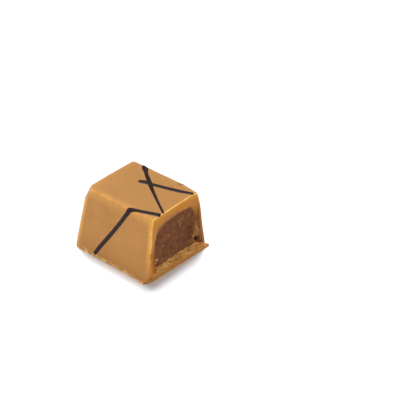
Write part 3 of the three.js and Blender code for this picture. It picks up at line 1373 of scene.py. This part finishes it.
@dataclass(frozen=True)
class Shell:
    """Blond chocolate shell: a moulded outside, a hollow inside and a rolled, cut edge."""

    mould: Mould
    outline: CutOutline
    outside_tints: OutsideTints = OutsideTints()
    band_tints: BandTints = BandTints()
    # Steps of the mesh
    steps: LoopSteps = LoopSteps(side=96, corner=8, half_end=40)
    wall_rows: int = 66
    edge_rows: int = 10
    top_rows: int = 34
    roll_rows: int = 6
    band_rows: int = 16
    # Corners, worn most at the far front top
    low: float = 0.45
    slit: float = 0.09
    small_corner: float = 0.3
    corner_growth: float = 0.5
    top_corner_share: float = 0.6
    hollow_corner_share: float = 0.9
    worn_corner: float = 2.4
    worn_from: float = 11.0
    # Hollow and cut
    blend_depth: float = 2.6
    knife: Grain = Grain(31, 1.4, 0.05)
    lip: float = 0.1
    lip_fall: Ramp = Ramp(0.85, 1.0)
    crumb_relief: Grain = Grain(32, 0.7, 0.16)
    mark_rise: float = 3.0
    sharp: float = 32.0

    def outer_profile(self) -> Points:
        """Rows of the outside, from its foot over its top edge to its middle line.

        Returns:
            Height, inset, corner radius and lean of the normal of each row.
        """
        mould = self.mould
        radius = mould.edge_radius
        wall = np.linspace(self.low, mould.height - radius, self.wall_rows, endpoint=False)
        turn = np.linspace(0, QUARTER, self.edge_rows)
        inset = np.linspace(radius, mould.half_width(mould.height) - self.slit, self.top_rows + 1)[1:]
        left = mould.half_width(mould.height) - inset
        grown = self.small_corner + self.corner_growth * (inset - radius)
        corner = np.minimum(grown, self.top_corner_share * left)
        side = np.column_stack([wall, 0 * wall, 0 * wall + mould.corner_radius, 0 * wall])
        edge = np.column_stack([
            mould.height - radius * (1 - np.sin(turn)),
            radius * (1 - np.cos(turn)),
            mix(mould.corner_radius, self.small_corner, 1 - np.cos(turn)),
            turn,
        ])
        top = np.column_stack([0 * inset + mould.height, inset, corner, 0 * inset + QUARTER])
        return np.vstack([side, edge, top])

    def outer_rows(self) -> list[OuterRow]:
        """Rows of the outside before its unevenness.

        Returns:
            The rows from the foot to the middle line.
        """
        mould = self.mould
        wear = Ramp(self.worn_from, mould.height, self.worn_corner)
        rows = []
        for z, inset, corner, lean in self.outer_profile():
            half = mould.half_width(z) - inset
            reach = mould.reach(z) - inset
            ahead = [mould.cut(hand * half, z) - mould.roll(lean, hand, z)[0] for hand in HANDS]
            worn = max(corner, wear.at(z) - inset)
            place, normal = self.steps.loop(reach, half, (worn, corner), ahead)
            rows.append(OuterRow(z, inset, reach, lean, corner, worn, at_height(place, z), normal))
        return rows

    def raised(self, row: OuterRow) -> Points:
        """Points of a row with the outside's unevenness."""
        outward = at_height(row.normal * math.cos(row.lean), math.sin(row.lean))
        return row.points + outward * self.mould.unevenness(row.points)[:, None]

    def inner_sheet(self, count: int) -> Points:
        """Points of the hollow, which meets the cut along the outline.

        Args:
            count: Rows of the sheet.

        Returns:
            The points, row by row.
        """
        mould = self.mould
        side = self.steps.side
        profile = resample(self.outline.core_half(0.0, self.low), count)
        profile[-1, 0] = self.slit
        lines = [self.outline.shell_half(hand, count) for hand in HANDS]
        sheet = []
        for (half, z), *ends in zip(profile, *lines):
            inset = mould.half_width(z) - half
            corner = min(mould.cavity_corner, self.hollow_corner_share * half)
            ahead = [mould.cut(*end) - self.lip for end in ends]
            place, _ = self.steps.loop(mould.reach(z) - inset, half, (corner, corner), ahead)
            points = at_height(place, z)
            for part, end, front in zip((slice(0, side), slice(-side, None)), ends, ahead):
                near = Ramp(front - self.blend_depth, front).at(points[part, 0])
                points[part, 1:] = mix(points[part, 1:], end, near[:, None])
            sheet.append(points)
        return np.stack(sheet)

    def band(self, rim: Points, core: Points, leans: Points) -> Band:
        """Places of the rolled edge and the cut.

        Args:
            rim: Points where the outside ends, from the front foot over the top to the back foot.
            core: Points where the hollow ends, in the same order.
            leans: Lean of the normal at each rim point.

        Returns:
            The rows between rim and core.
        """
        hand = np.where(np.arange(len(rim)) < len(rim) // 2, *HANDS)
        back, inward = self.mould.roll(leans, hand, rim[:, 2])
        aim = np.column_stack([-hand * np.cos(leans), -np.sin(leans)])
        roll = np.linspace(0, 1, self.roll_rows + 1)[1:, None]
        ahead, aside = self.mould.rolled(roll)
        rolled = rim[:, 1:] + aim * (inward * aside)[..., None]
        depth = (np.arange(1, self.band_rows) / self.band_rows)[:, None]
        flat = mix(rolled[-1], core[:, 1:], depth[..., None])
        y, z = np.moveaxis(np.concatenate([rolled, flat]), -1, 0)
        return Band(
            y=y,
            z=z,
            setback=np.concatenate([back * (1 - ahead), 0 * back * depth]),
            roll=np.concatenate([roll, np.ones_like(depth)]),
            depth=np.concatenate([0 * roll, depth]),
            hand=hand,
            top=leans / QUARTER,
            height=rim[:, 2],
        )

    def band_points(self, band: Band, crumbs: Points) -> Points:
        """Points of the rolled edge and the cut with its relief.

        Args:
            band: Places of the band.
            crumbs: Mask of the crumbs at the same places.

        Returns:
            The points, row by row.
        """
        flat = on_cut(band.y, band.z)
        relief = (self.knife.at(flat) + self.crumb_relief.at(flat) * crumbs) * band.depth
        relief += mark_relief(band.y, band.z) * np.minimum(self.mark_rise * band.depth, 1)
        relief -= self.lip * self.lip_fall.at(band.depth) + band.setback
        return np.stack([self.mould.cut(band.y, band.z) + relief, band.y, band.z], axis=-1)

    def make(self) -> bpy.types.Object:
        """Builds the shell and dresses it.

        Returns:
            The shell's object.
        """
        draft = MeshDraft(BLOND)
        rows = self.outer_rows()
        outer = np.stack([self.raised(row) for row in rows])
        inner = self.inner_sheet(len(rows))
        outer_index = draft.add_points(outer, **self.outside_tints.masks(self.mould, rows, outer))
        inner_index = draft.add_points(inner, cut=1.0)
        for index in (outer_index, inner_index):
            draft.add_grid(index)
            draft.add_zip(index[-1])
        draft.add_grid(np.stack([outer_index[0], inner_index[0]]))
        leans = [row.lean for row in rows]
        band = self.band(both_ends(outer), both_ends(inner), np.array(leans + leans[::-1]))
        marks = mark_masks(band.y, band.z)
        points = self.band_points(band, marks[Tint.CRUMB.value])
        band_index = draft.add_points(points, **self.band_tints.masks(band, marks))
        whole = np.vstack([both_ends(outer_index), band_index, both_ends(inner_index)])
        draft.add_grid(whole)
        draft.add_face(whole[:, 0])
        draft.add_face(whole[:, -1])
        piece = draft.build("shell_cast", self.mould, self.sharp)
        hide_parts("shell")
        return piece


# The filling, the base and the piped lines


@dataclass(frozen=True)
class Filling:
    """Grainy nut paste that runs through the shell and shows at the cut."""

    mould: Mould
    outline: CutOutline
    # Steps of the mesh
    cells: int = 120
    floor_steps: int = 80
    core_steps: int = 400
    # Face at the cut
    middle: Pair = (-0.4, 7.4)
    overlap: float = 0.06
    recess: float = 0.05
    hollow: float = 0.1
    hang: float = 0.12
    hang_waver: Grain = Grain(48, 1.5, 0.45)
    # Grains and pieces of nut
    relief_grains: tuple[Grain, ...] = (
        Grain(41, 1.1, 0.16, layers=1),
        Grain(42, 0.5, 0.09, layers=1),
        Grain(43, 0.22, 0.05, layers=1),
    )
    nut_seed: int = 44
    nut_count: int = 900
    nut_radii: Pair = (0.1, 0.32)
    nut_height: float = 0.07
    # Border and tints
    rim: Ramp = Ramp(1.0, 0.88)
    smear_waver: Grain = Grain(45, 0.7, 0.12)
    smear_rise: Ramp = Ramp(0.96, 1.06, 0.6)
    flecks: tuple[tuple[Tint, Patches], ...] = (
        (Tint.PALE, Patches(Grain(46, 0.45), Ramp(0.4, 0.6, 0.25))),
        (Tint.RED, Patches(Grain(47, 0.5), Ramp(0.3, 0.5, 0.22))),
    )
    # Sides, by shares of the way to the far end
    depth_shares: tuple[float, ...] = (0.02, 0.06, 0.12, 0.25, 0.45, 0.65, 0.8, 0.9, 0.96, 0.99)
    blend: Ramp = Ramp(0.0, 2.5)
    sharp: float = 80.0

    def ring(self, arch: Points, floor: Points) -> Points:
        """Closed line round the filling with four equal runs: floor, back side, roof and front side.

        Args:
            arch: Line over the filling from its front foot to its back foot.
            floor: Line under it from its front foot to its back foot.

        Returns:
            The points, across and up.
        """
        high = arch[:, 1] > self.outline.shoulder
        first = int(np.argmax(high))
        last = len(high) - 1 - int(np.argmax(high[::-1]))
        back, roof, front = arch[last:][::-1], arch[first : last + 1][::-1], arch[: first + 1][::-1]
        return np.vstack([resample(line, self.cells + 1)[:-1] for line in (floor, back, roof, front)])

    def face_ring(self) -> Points:
        """The line round the filling at the cut, a hair over the shell's edge.

        Returns:
            The points, across and up.
        """
        arch = self.outline.filling_arch()
        share = np.linspace(0, 1, self.floor_steps)
        floor = mix(arch[0], arch[-1], share[:, None])
        along = np.column_stack([floor[:, 0], 0 * share, 0 * share])
        floor[:, 1] -= self.hang + self.hang_waver.at(along) * np.sin(math.pi * share)
        ring = self.ring(arch, floor)
        outward = ring - np.array(self.middle)
        return ring + self.overlap * outward / np.linalg.norm(outward, axis=1, keepdims=True)

    def core_ring(self) -> Points:
        """The line round the filling deep behind the cut.

        Returns:
            The points, across and up.
        """
        half = self.outline.core_half(self.mould.piece_gap, self.mould.base_top)
        arch = np.vstack([half * (-1, 1), half[-2::-1]])
        return self.ring(resample(arch, self.core_steps), arch[[0, -1]])

    def face_grid(self, ring: Points) -> tuple[Points, Points]:
        """Grid of places on the cut face.

        Args:
            ring: Closed line round the face.

        Returns:
            The places, across and up, and how far out each lies, from 0 to 1.
        """
        side = np.linspace(-1, 1, self.cells + 1)
        across, upward = np.meshgrid(side, side)
        out = np.maximum(np.abs(across), np.abs(upward))
        right, up = (way / np.maximum(out, TINY) for way in (across, upward))
        run = [(right + 1) / 2, 1 + (up + 1) / 2, 2 + (1 - right) / 2, 3 + (1 - up) / 2]
        where = [up <= TINY - 1, right >= 1 - TINY, up >= 1 - TINY]
        place = np.select(where, run[:3], run[3]) * self.cells
        closed = np.vstack([ring, ring[:1]])
        line = np.stack([np.interp(place, np.arange(len(closed)), column) for column in closed.T], axis=-1)
        return mix(np.array(self.middle), line, out[..., None]), out

    def relief(self, y: Points, z: Points) -> Points:
        """How far the paste stands out from the knife's path.

        Args:
            y: Places across.
            z: Places up.

        Returns:
            Grains and pieces of nut together.
        """
        draw = np.random.default_rng(self.nut_seed)
        low, high = (y.min(), z.min()), (y.max(), z.max())
        spots = draw.uniform(low, high, (self.nut_count, 2))
        radii = mix(*self.nut_radii, draw.random(self.nut_count) ** 2)
        nuts = np.zeros_like(y)
        for (spot_y, spot_z), radius in zip(spots, radii):
            near = (np.abs(y - spot_y) < radius) & (np.abs(z - spot_z) < radius)
            far = np.hypot(y[near] - spot_y, z[near] - spot_z) / radius
            nuts[near] = np.maximum(nuts[near], self.nut_height * np.maximum(1 - far**2, 0))
        return sum(grain.at(on_cut(y, z)) for grain in self.relief_grains) + nuts

    def face(self, place: Points, out: Points) -> tuple[Points, Masks]:
        """The cut face of the paste.

        Args:
            place: Places across and up.
            out: How far out each lies, from 0 to 1.

        Returns:
            The points and their masks.
        """
        y, z = np.moveaxis(place, -1, 0)
        inside = self.rim.at(out)
        forward = self.mould.cut(y, z) - self.recess - inside * (self.hollow - self.relief(y, z))
        forward += mark_relief(y, z) * inside
        flat = on_cut(y, z)
        masks = mark_masks(y, z)
        masks["smear"] = self.smear_rise.at(out + self.smear_waver.at(flat))
        for tint, patches in self.flecks:
            masks[tint.value] = np.maximum(masks[tint.value], patches.at(flat))
        return np.stack([forward, y, z], axis=-1), masks

    def side_rows(self, start: Points) -> list[Points]:
        """Rows of the sides from the cut face to the rounded far end.

        Args:
            start: Points round the cut face.

        Returns:
            The rows, each with as many points.
        """
        mould = self.mould
        core = self.core_ring()
        foot = np.array([0.0, mould.base_top])
        far_end = mould.wall + mould.piece_gap - mould.reach(start[:, 2])
        length = start[:, 0] - far_end
        rows = []
        for share in self.depth_shares:
            section = mix(start[:, 1:], core, self.blend.at(share * length)[:, None])
            left = np.clip((1 - share) * length / mould.cavity_corner, 0, 1)
            shrink = 1 - (1 - np.sqrt(1 - (1 - left) ** 2)) * mould.cavity_corner / mould.half_width(0)
            x = mix(start[:, 0], far_end, share)
            rows.append(np.column_stack([x, mix(foot, section, shrink[:, None])]))
        return rows

    def make(self) -> bpy.types.Object:
        """Builds the filling and dresses it.

        Returns:
            The filling's object.
        """
        draft = MeshDraft(PASTE)
        face, masks = self.face(*self.face_grid(self.face_ring()))
        index = draft.add_points(face, **masks)
        draft.add_grid(index)
        border = np.concatenate([index[0, :-1], index[:-1, -1], index[-1, :0:-1], index[:0:-1, 0]])
        sides = self.side_rows(face.reshape(-1, 3)[border])
        rows = [border, *(draft.add_points(row) for row in sides)]
        draft.add_grid(np.stack(rows), closed=True)
        draft.add_face(rows[-1])
        piece = draft.build("nut_paste", self.mould, self.sharp)
        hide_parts("filling")
        return piece


@dataclass(frozen=True)
class Base:
    """Poured chocolate that closes the underside, broken off at the cut with a ragged foot."""

    mould: Mould
    # Steps of the mesh
    steps: LoopSteps = LoopSteps(side=70, corner=6, half_end=30)
    inset_rows: int = 82
    rows: int = 28
    # Foot
    corner_radius: float = 1.6
    small_corner: float = 0.3
    corner_share: float = 0.6
    foot_top: float = 0.5
    foot_depth: float = 2.0
    top_gap: float = 0.1
    slit: float = 0.06
    ragged: float = 0.18
    ragged_grain: Grain = Grain(51, 0.9)
    ragged_top: float = 0.35
    lip: Hump = Hump(2.3, 1.3, 0.95)
    toe: Hump = Hump(-0.3, 1.1, 0.45)
    toe_top: float = 0.6
    facing: float = 0.5
    # Break at the cut
    ledge_height: float = 1.2
    ledge_recess: float = 0.5
    ledge_corner: float = 1.8
    ledge_wear: float = 0.9
    ledge_power: int = 3
    squeeze: float = 0.6
    rough_border: Grain = Grain(52, 1.2, 0.9)
    rough_rise: Ramp = Ramp(0.8, 1.6)
    rough_grains: tuple[Grain, ...] = (
        Grain(53, 1.1, 0.22, layers=1),
        Grain(54, 0.45, 0.16, layers=1),
        Grain(55, 0.2, 0.08, layers=1),
    )
    calm_grain: Grain = Grain(56, 0.9, 0.04)
    border_rise: float = 4.0
    border_top: float = 0.8
    # Tints
    trim: float = 0.9
    toe_flecks: Hump = Hump(-0.3, 1.6)
    toe_level: Ramp = Ramp(0.5, 0.25)
    toe_patches: Patches = Patches(Grain(50, 0.8), Ramp(-0.1, 0.2))
    fibre_stretch: float = 0.22
    fibre_slant: float = 0.12
    fibres: tuple[Grain, ...] = (Grain(58, 0.22, 0.7, layers=1), Grain(57, 0.5, 0.3, layers=1))
    pale_fibres: Ramp = Ramp(0.0, 0.5, 0.8)
    dark_fibres: Ramp = Ramp(-0.1, -0.5, 0.2)
    # Painted highlight along the top edge of the ledge
    rim: Hump = Hump(2.9, 0.16, 0.6)
    rim_patches: Patches = Patches(Grain(60, 0.8), Ramp(-0.4, 0.2))
    stain: Hump = Hump(3.1, 0.3, 0.7)
    stain_patches: Patches = Patches(Grain(59, 1.0), Ramp(-0.2, 0.4))
    low_edge: Ramp = Ramp(0.35, 0.0, 0.5)
    sharp: float = 50.0

    def overhang(self, points: Points, normal: Points, level: int) -> Points:
        """Points of the foot's edge pushed out to its ragged line, its lip and its toe.

        Args:
            points: Points of the plain foot.
            normal: Their level outward normals.
            level: 0 on the underside and 1 on the top side.

        Returns:
            The moved points.
        """
        x, side = points[:, 0], normal[:, 1]
        noise = 0.5 + 0.5 * self.ragged_grain.at(points)
        push = self.ragged * noise * mix(1.0, self.ragged_top, level)
        push += self.lip.at(x) * (side > self.facing)
        push += self.toe.at(x) * (side < -self.facing) * mix(1.0, self.toe_top, level)
        return points + at_height(normal * push[:, None], 0.0)

    def forward(self, y: Values, z: Values) -> Values:
        """Forward place of the break: a short upright face and a rough slope above it.

        Args:
            y: Places across.
            z: Places up.

        Returns:
            Place of the break along the bar.
        """
        mould = self.mould
        step = Ramp(self.ledge_height / 2, mould.base_top).at(z)
        corner = np.maximum(1 - (mould.half_width(z) + y) / self.ledge_corner, 0)
        plain = mix(mould.cut(y, 0), mould.cut(y, z) - self.ledge_recess, step)
        return plain - self.ledge_wear * corner**self.ledge_power

    def sheet(self, level: int) -> Points:
        """Underside or top side, from the foot's edge to the middle line.

        Args:
            level: 0 for the underside and 1 for the top side.

        Returns:
            The points, row by row.
        """
        mould = self.mould
        plug = mould.base_top - self.top_gap
        rows = []
        for inset in np.linspace(0, mould.half_width(0) - self.slit, self.inset_rows):
            on_foot = inset < mould.wall + mould.piece_gap
            z = level * (self.foot_top if on_foot else plug)
            half = mould.half_width(z if on_foot else 0.0) - inset
            ends = [self.forward(hand * half, z) for hand in HANDS]
            corner = min(max(self.corner_radius - inset, self.small_corner), self.corner_share * half)
            place, normal = self.steps.loop(mould.reach(0.0) - inset, half, (corner, corner), ends)
            points = at_height(place, z)
            hold = max(1 - inset / self.foot_depth, 0)
            rows.append(mix(points, self.overhang(points, normal, level), hold))
        return np.stack(rows)

    def edge_trim(self, edge: Points) -> Points:
        """Mask of the pale flecks on the foot's edge, more of them on the toe.

        Args:
            edge: Points of the foot's edge.

        Returns:
            Values from 0 to 1.
        """
        x, y, z = np.moveaxis(edge, -1, 0)
        flecks = self.toe_flecks.at(x) * (y < 0) * self.toe_level.at(z) * self.toe_patches.at(edge)
        return np.maximum(self.trim * self.mould.trim(edge), flecks)

    def face(self, plain: Points, up: Points) -> tuple[Points, Masks]:
        """The broken face at the cut.

        Args:
            plain: Points between the underside and the top side.
            up: Share of the way up of each row.

        Returns:
            The points of the break and their masks.
        """
        y, z = plain[..., 1], plain[..., 2]
        squeezed = np.stack([0 * y, self.squeeze * y, z], axis=-1)
        rough = self.rough_rise.at(z + self.rough_border.at(squeezed))
        crumbly = sum(grain.at(squeezed) for grain in self.rough_grains)
        relief = mix(self.calm_grain.at(squeezed), crumbly, rough)
        border = np.minimum(1, self.border_rise * np.minimum(up, 1 - self.border_top * up))
        x = self.forward(y, z) + relief * border + mark_relief(y, z)
        return np.stack([x, y, z], axis=-1), self.face_masks(y, z, rough)

    def face_masks(self, y: Points, z: Points, rough: Points) -> Masks:
        """Masks of the broken face.

        Args:
            y: Places across.
            z: Places up.
            rough: Mask of its rough part.

        Returns:
            Mask name to values from 0 to 1.
        """
        flat = on_cut(y, z)
        along = np.stack([0 * y, self.fibre_stretch * y, z + self.fibre_slant * y], axis=-1)
        threads = sum(grain.at(along) for grain in self.fibres)
        rim = self.rim.at(z) * self.rim_patches.at(flat)
        stain = self.stain.at(z) * self.stain_patches.at(flat)
        return mark_masks(y, z) | {
            "rough": rough,
            # Pale fibres of the break and the painted highlight along the ledge's top
            "streak": np.maximum(rough * self.pale_fibres.at(threads), rim),
            "edge": self.low_edge.at(z),
            "smear": np.maximum(stain, rough * self.dark_fibres.at(threads)),
        }

    def make(self) -> bpy.types.Object:
        """Builds the base and dresses it.

        Returns:
            The base's object.
        """
        draft = MeshDraft(BREAK)
        under, top = self.sheet(0), self.sheet(1)
        under_index = draft.add_points(under)
        top_index = draft.add_points(top, rough=1.0)
        for index in (under_index, top_index):
            draft.add_grid(index)
            draft.add_zip(index[-1])
        up = np.linspace(0, 1, self.rows + 1)[1:-1, None]
        edge = mix(under[0], top[0], up[..., None])
        edge_index = draft.add_points(edge, trim=self.edge_trim(edge), edge=1.0)
        draft.add_grid(np.vstack([under_index[:1], edge_index, top_index[:1]]))
        plain = mix(both_ends(under)[1:-1], both_ends(top)[1:-1], up[..., None])
        face, masks = self.face(plain, up)
        face_index = draft.add_points(face, **masks)
        columns = np.hstack([edge_index[:, :1], face_index, edge_index[:, -1:]])
        draft.add_grid(np.vstack([both_ends(under_index), columns, both_ends(top_index)]))
        piece = draft.build("poured_base", self.mould, self.sharp)
        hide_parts("base")
        return piece


@dataclass(frozen=True)
class PipedLine:
    """One line of dark chocolate: its side and its route as along, over the top edge and width."""

    side: Side
    route: tuple[Place, ...]


@dataclass(frozen=True)
class PipedLines:
    """Dark lines piped over the shell and cut with it."""

    mould: Mould
    # Steps of the mesh
    steps: int = 150
    per_span: int = 40
    lanes: int = 10
    # Section of a line
    proud: float = 0.1
    overlap: float = 0.015
    crown_power: int = 4
    sink: float = 0.02
    bed: float = 0.25
    bed_lanes: Pair = (0.9, -0.9)
    wavers: tuple[Grain, Grain] = (Grain(61, 0.8, 0.07), Grain(62, 0.8, 0.07))
    waver_gap: float = 7.0
    # Ends of a line
    over_edge: float = 0.15
    least_end: float = 0.2
    least_round: float = 0.02
    sharp: float = 60.0
    lines: tuple[PipedLine, ...] = (
        PipedLine(
            Side.BACK,
            (
                (-14.7, -0.1, 0.6), (-14.2, 0.4, 1.2), (-13.4, 1.15, 1.4), (-12.6, 1.85, 1.1),
                (-12, 2.4, 0.9), (-9.3, 4.6, 1.1), (-6.5, 6.8, 0.82), (-3, 9.3, 0.64),
                (0.3, 11.6, 0.58), (4, 14.2, 0.58),
            ),
        ),
        PipedLine(
            Side.BACK,
            (
                (-11.3, 5.85, 0.7), (-10.6, 5.6, 1.4), (-9.5, 5.15, 1.35), (-8, 4.85, 1.15), (-6, 4.25, 1.15),
                (-4, 3.6, 1.25), (-2, 2.9, 1.2), (0.4, 1.7, 1), (4, -0.5, 0.9),
            ),
        ),
        PipedLine(
            Side.FRONT,
            (
                (4, 4.6, 1.1), (0.4, 2.6, 1.2), (-1, 1.95, 1.2), (-3, 1.1, 1.2), (-4.6, 0.5, 1.2),
                (-5.5, 0, 1.4), (-5.95, -1, 1.15), (-6.5, -2, 1.0), (-8.05, -4.9, 0.95), (-10.55, -9.1, 1.0),
                (-12.4, -12.1, 1.0), (-13.75, -14.5, 0.9),
            ),
        ),
        PipedLine(
            Side.BACK,
            (
                (-3.9, -0.1, 0.3), (-3.9, -0.8, 0.6), (-4.3, -3, 0.85), (-5.4, -6.2, 0.95), (-8, -8.6, 0.9),
                (-11, -10.8, 0.9), (-13, -14, 0.7),
            ),
        ),
        PipedLine(
            Side.END,
            (
                (-2.4, -1.6, 0.5), (-2.2, -2.4, 0.9), (-1.8, -5, 0.8), (-1.5, -8, 0.75), (-1.6, -11, 0.6),
                (-1.4, -13, 0.4),
            ),
        ),
    )

    def path(self, line: PipedLine) -> Points:
        """Even steps along a line's route, up to the cut where the line reaches it.

        Args:
            line: The line.

        Returns:
            Place along the side, place over its top edge and width of each step.
        """
        route = smooth_line(line.route, self.per_span)
        if line.side is not Side.END:
            route = route[route[:, 0] <= self.mould.cut_top + self.over_edge]
        return resample(route, self.steps)

    def rounding(self, line: PipedLine, path: Points) -> Points:
        """Share of the full width along a line, which ends round where it isn't cut.

        Args:
            line: The line.
            path: Its steps.

        Returns:
            One share for each step.
        """
        gone = np.concatenate([[0.0], np.cumsum(np.linalg.norm(np.diff(path[:, :2], axis=0), axis=1))])
        shares = np.ones(len(path))
        for far, end in ((gone, 0), (gone[-1] - gone, -1)):
            cut_off = line.side is not Side.END and path[end, 0] > 0
            if not cut_off:
                left = np.clip(1 - far / max(path[end, 2] / 2, self.least_end), 0, 1)
                shares *= np.sqrt(np.maximum(1 - left**2, self.least_round))
        return shares

    def tube(self, order: int, line: PipedLine) -> Points:
        """Points of one line, which lies over the lines before it.

        Args:
            order: How many lines lie under it.
            line: The line.

        Returns:
            The points, a ring for each step along the line.
        """
        path = self.path(line)
        heading = np.gradient(path[:, :2], axis=0)
        heading /= np.linalg.norm(heading, axis=1, keepdims=True)
        half = path[:, 2] * self.rounding(line, path) / 2
        places = at_height(path[:, :2], self.waver_gap * order)
        edges = [1 + waver.at(places) for waver in self.wavers]
        lanes = []
        for lane in np.linspace(-1, 1, self.lanes):
            crown = (self.proud + order * self.overlap) * (1 - lane**self.crown_power) - self.sink
            lanes.append((lane * half * edges[int(lane > 0)], crown))
        lanes += [(lane * half, -self.bed) for lane in self.bed_lanes]
        ring = []
        for aside, lift in lanes:
            along = path[:, 0] - heading[:, 1] * aside
            over = path[:, 1] + heading[:, 0] * aside
            ring.append(self.mould.skin(line.side, along, over, lift))
        return np.stack(ring, axis=1)

    def make(self) -> bpy.types.Object:
        """Builds all lines as one piece and dresses it.

        Returns:
            The lines' object.
        """
        draft = MeshDraft(DARK)
        for order, line in enumerate(self.lines):
            index = draft.add_points(self.tube(order, line))
            draft.add_grid(index, closed=True)
            draft.add_face(index[0])
            draft.add_face(index[-1])
        return draft.build("piped_lines", self.mould, self.sharp)


# Stage, light and camera


class Lamp(Enum):
    """Kinds of studio light: a near square one, and a far one that lights the whole floor evenly."""

    NEAR = "AREA"
    FAR = "SUN"


@dataclass(frozen=True)
class StudioLight:
    """Soft light that faces the praline, placed in millimetres in the part's frame."""

    name: str
    place: Place
    size: float
    power: float
    colour: Place = (1.0, 1.0, 1.0)
    kind: Lamp = Lamp.NEAR

    def make(self) -> None:
        """Places the light, a far one with the strength that a near one has at the praline."""
        lamp = bpy.data.lights.new(self.name, self.kind.value)
        distance = (Vector(self.place) * MM).length
        lamp.color = self.colour
        if self.kind is Lamp.FAR:
            lamp.angle = self.size * MM / distance
            lamp.energy = self.power / (math.pi * distance**2)
        else:
            lamp.size = self.size * MM
            lamp.energy = self.power
        light = bpy.data.objects.new(self.name, lamp)
        light.location = Vector(self.place) * MM
        light.rotation_euler = light.location.to_track_quat("Z", "Y").to_euler()
        bpy.context.scene.collection.objects.link(light)


@dataclass(frozen=True)
class Studio:
    """Pale floor, even surrounding light and soft lamps."""

    floor_side: float = 4000.0
    floor_tone: Colour = (0.96, 0.96, 0.96, 1.0)
    floor_roughness: float = 0.9
    floor_specular: float = 0.1
    sky: float = 0.2
    sky_tone: Colour = (1.0, 1.0, 1.0, 1.0)
    lights: tuple[StudioLight, ...] = (
        StudioLight("key", (-70.0, 70.0, 295.0), 70.0, 0.92, (1.0, 1.03, 1.14), Lamp.FAR),
        StudioLight("fill", (264.0, -224.0, 90.0), 200.0, 0.75, (1.0, 1.0, 0.98)),
        StudioLight("rim", (-280.0, -110.0, 70.0), 120.0, 0.4, (1.0, 0.98, 0.92)),
    )

    def floor(self) -> bpy.types.Object:
        """The floor, a square of pale paper.

        Returns:
            The floor's object.
        """
        half = self.floor_side / 2 * MM
        corners = [(-half, -half, 0), (half, -half, 0), (half, half, 0), (-half, half, 0)]
        mesh = bpy.data.meshes.new("floor")
        mesh.from_pydata(corners, [], [(0, 1, 2, 3)])
        paper = bpy.data.materials.new("pale_paper")
        paper.use_nodes = True
        sockets = paper.node_tree.nodes["Principled BSDF"].inputs
        sockets["Base Color"].default_value = self.floor_tone
        sockets["Roughness"].default_value = self.floor_roughness
        sockets["Specular IOR Level"].default_value = self.floor_specular
        mesh.materials.append(paper)
        return bpy.data.objects.new("floor", mesh)

    def make(self) -> None:
        """Places the floor, the surrounding light and the lamps."""
        scene = bpy.context.scene
        floor = self.floor()
        scene.collection.objects.link(floor)
        floor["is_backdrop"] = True
        scene.world = bpy.data.worlds.new("soft_surround")
        scene.world.use_nodes = True
        sockets = scene.world.node_tree.nodes["Background"].inputs
        sockets["Color"].default_value = self.sky_tone
        sockets["Strength"].default_value = self.sky
        scene.view_settings.view_transform = "Standard"
        for light in self.lights:
            light.make()


@dataclass(frozen=True)
class StudioCamera:
    """Camera at the photograph's viewing angle, aimed at a place in the mould's frame."""

    mould: Mould
    aim: Place = (-10.38, 23.4, 0.0)
    azimuth: float = 35.604
    elevation: float = 33.319
    roll: float = 3.913
    distance: float = 231.76
    lens: float = 88.72
    sensor: float = 36.0

    def make(self) -> None:
        """Places the camera and makes it the scene's camera."""
        turn, rise, tilt = (math.radians(angle) for angle in (self.azimuth, self.elevation, self.roll))
        flat = math.cos(rise)
        back = Vector((math.sin(turn) * flat, -math.cos(turn) * flat, math.sin(rise)))
        level = Vector((math.cos(turn), math.sin(turn), 0))
        steep = back.cross(level)
        right = level * math.cos(tilt) + steep * math.sin(tilt)
        up = steep * math.cos(tilt) - level * math.sin(tilt)
        aim = Vector(self.mould.to_part(np.array(self.aim)))
        lens = bpy.data.cameras.new("camera")
        lens.lens = self.lens
        lens.sensor_width = self.sensor
        lens.clip_start = MM
        camera = bpy.data.objects.new("camera", lens)
        facing = Matrix((right, up, back)).transposed().to_4x4()
        camera.matrix_world = Matrix.Translation(aim + back * self.distance * MM) @ facing
        bpy.context.scene.collection.objects.link(camera)
        bpy.context.scene.camera = camera


def corners(box: tuple[Vector, Vector]) -> list[list[float]]:
    """Both corners of a box as plain numbers."""
    return [[float(value) for value in corner] for corner in box]


def main() -> None:
    """Builds the praline, its stage and the camera, and works out both boxes."""
    logging.basicConfig(level=logging.INFO, format="%(name)s %(message)s")
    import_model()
    cad_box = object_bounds()
    mould = Mould.from_frame()
    outline = CutOutline(mould)
    for piece in (Shell(mould, outline), Filling(mould, outline), Base(mould), PipedLines(mould)):
        made = piece.make()
        log.info("%s: %d points, %d faces", made.name, len(made.data.vertices), len(made.data.polygons))
    Studio().make()
    StudioCamera(mould).make()
    {"cad": corners(cad_box), "visual": corners(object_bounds())}


if __name__ == "__main__":
    main()
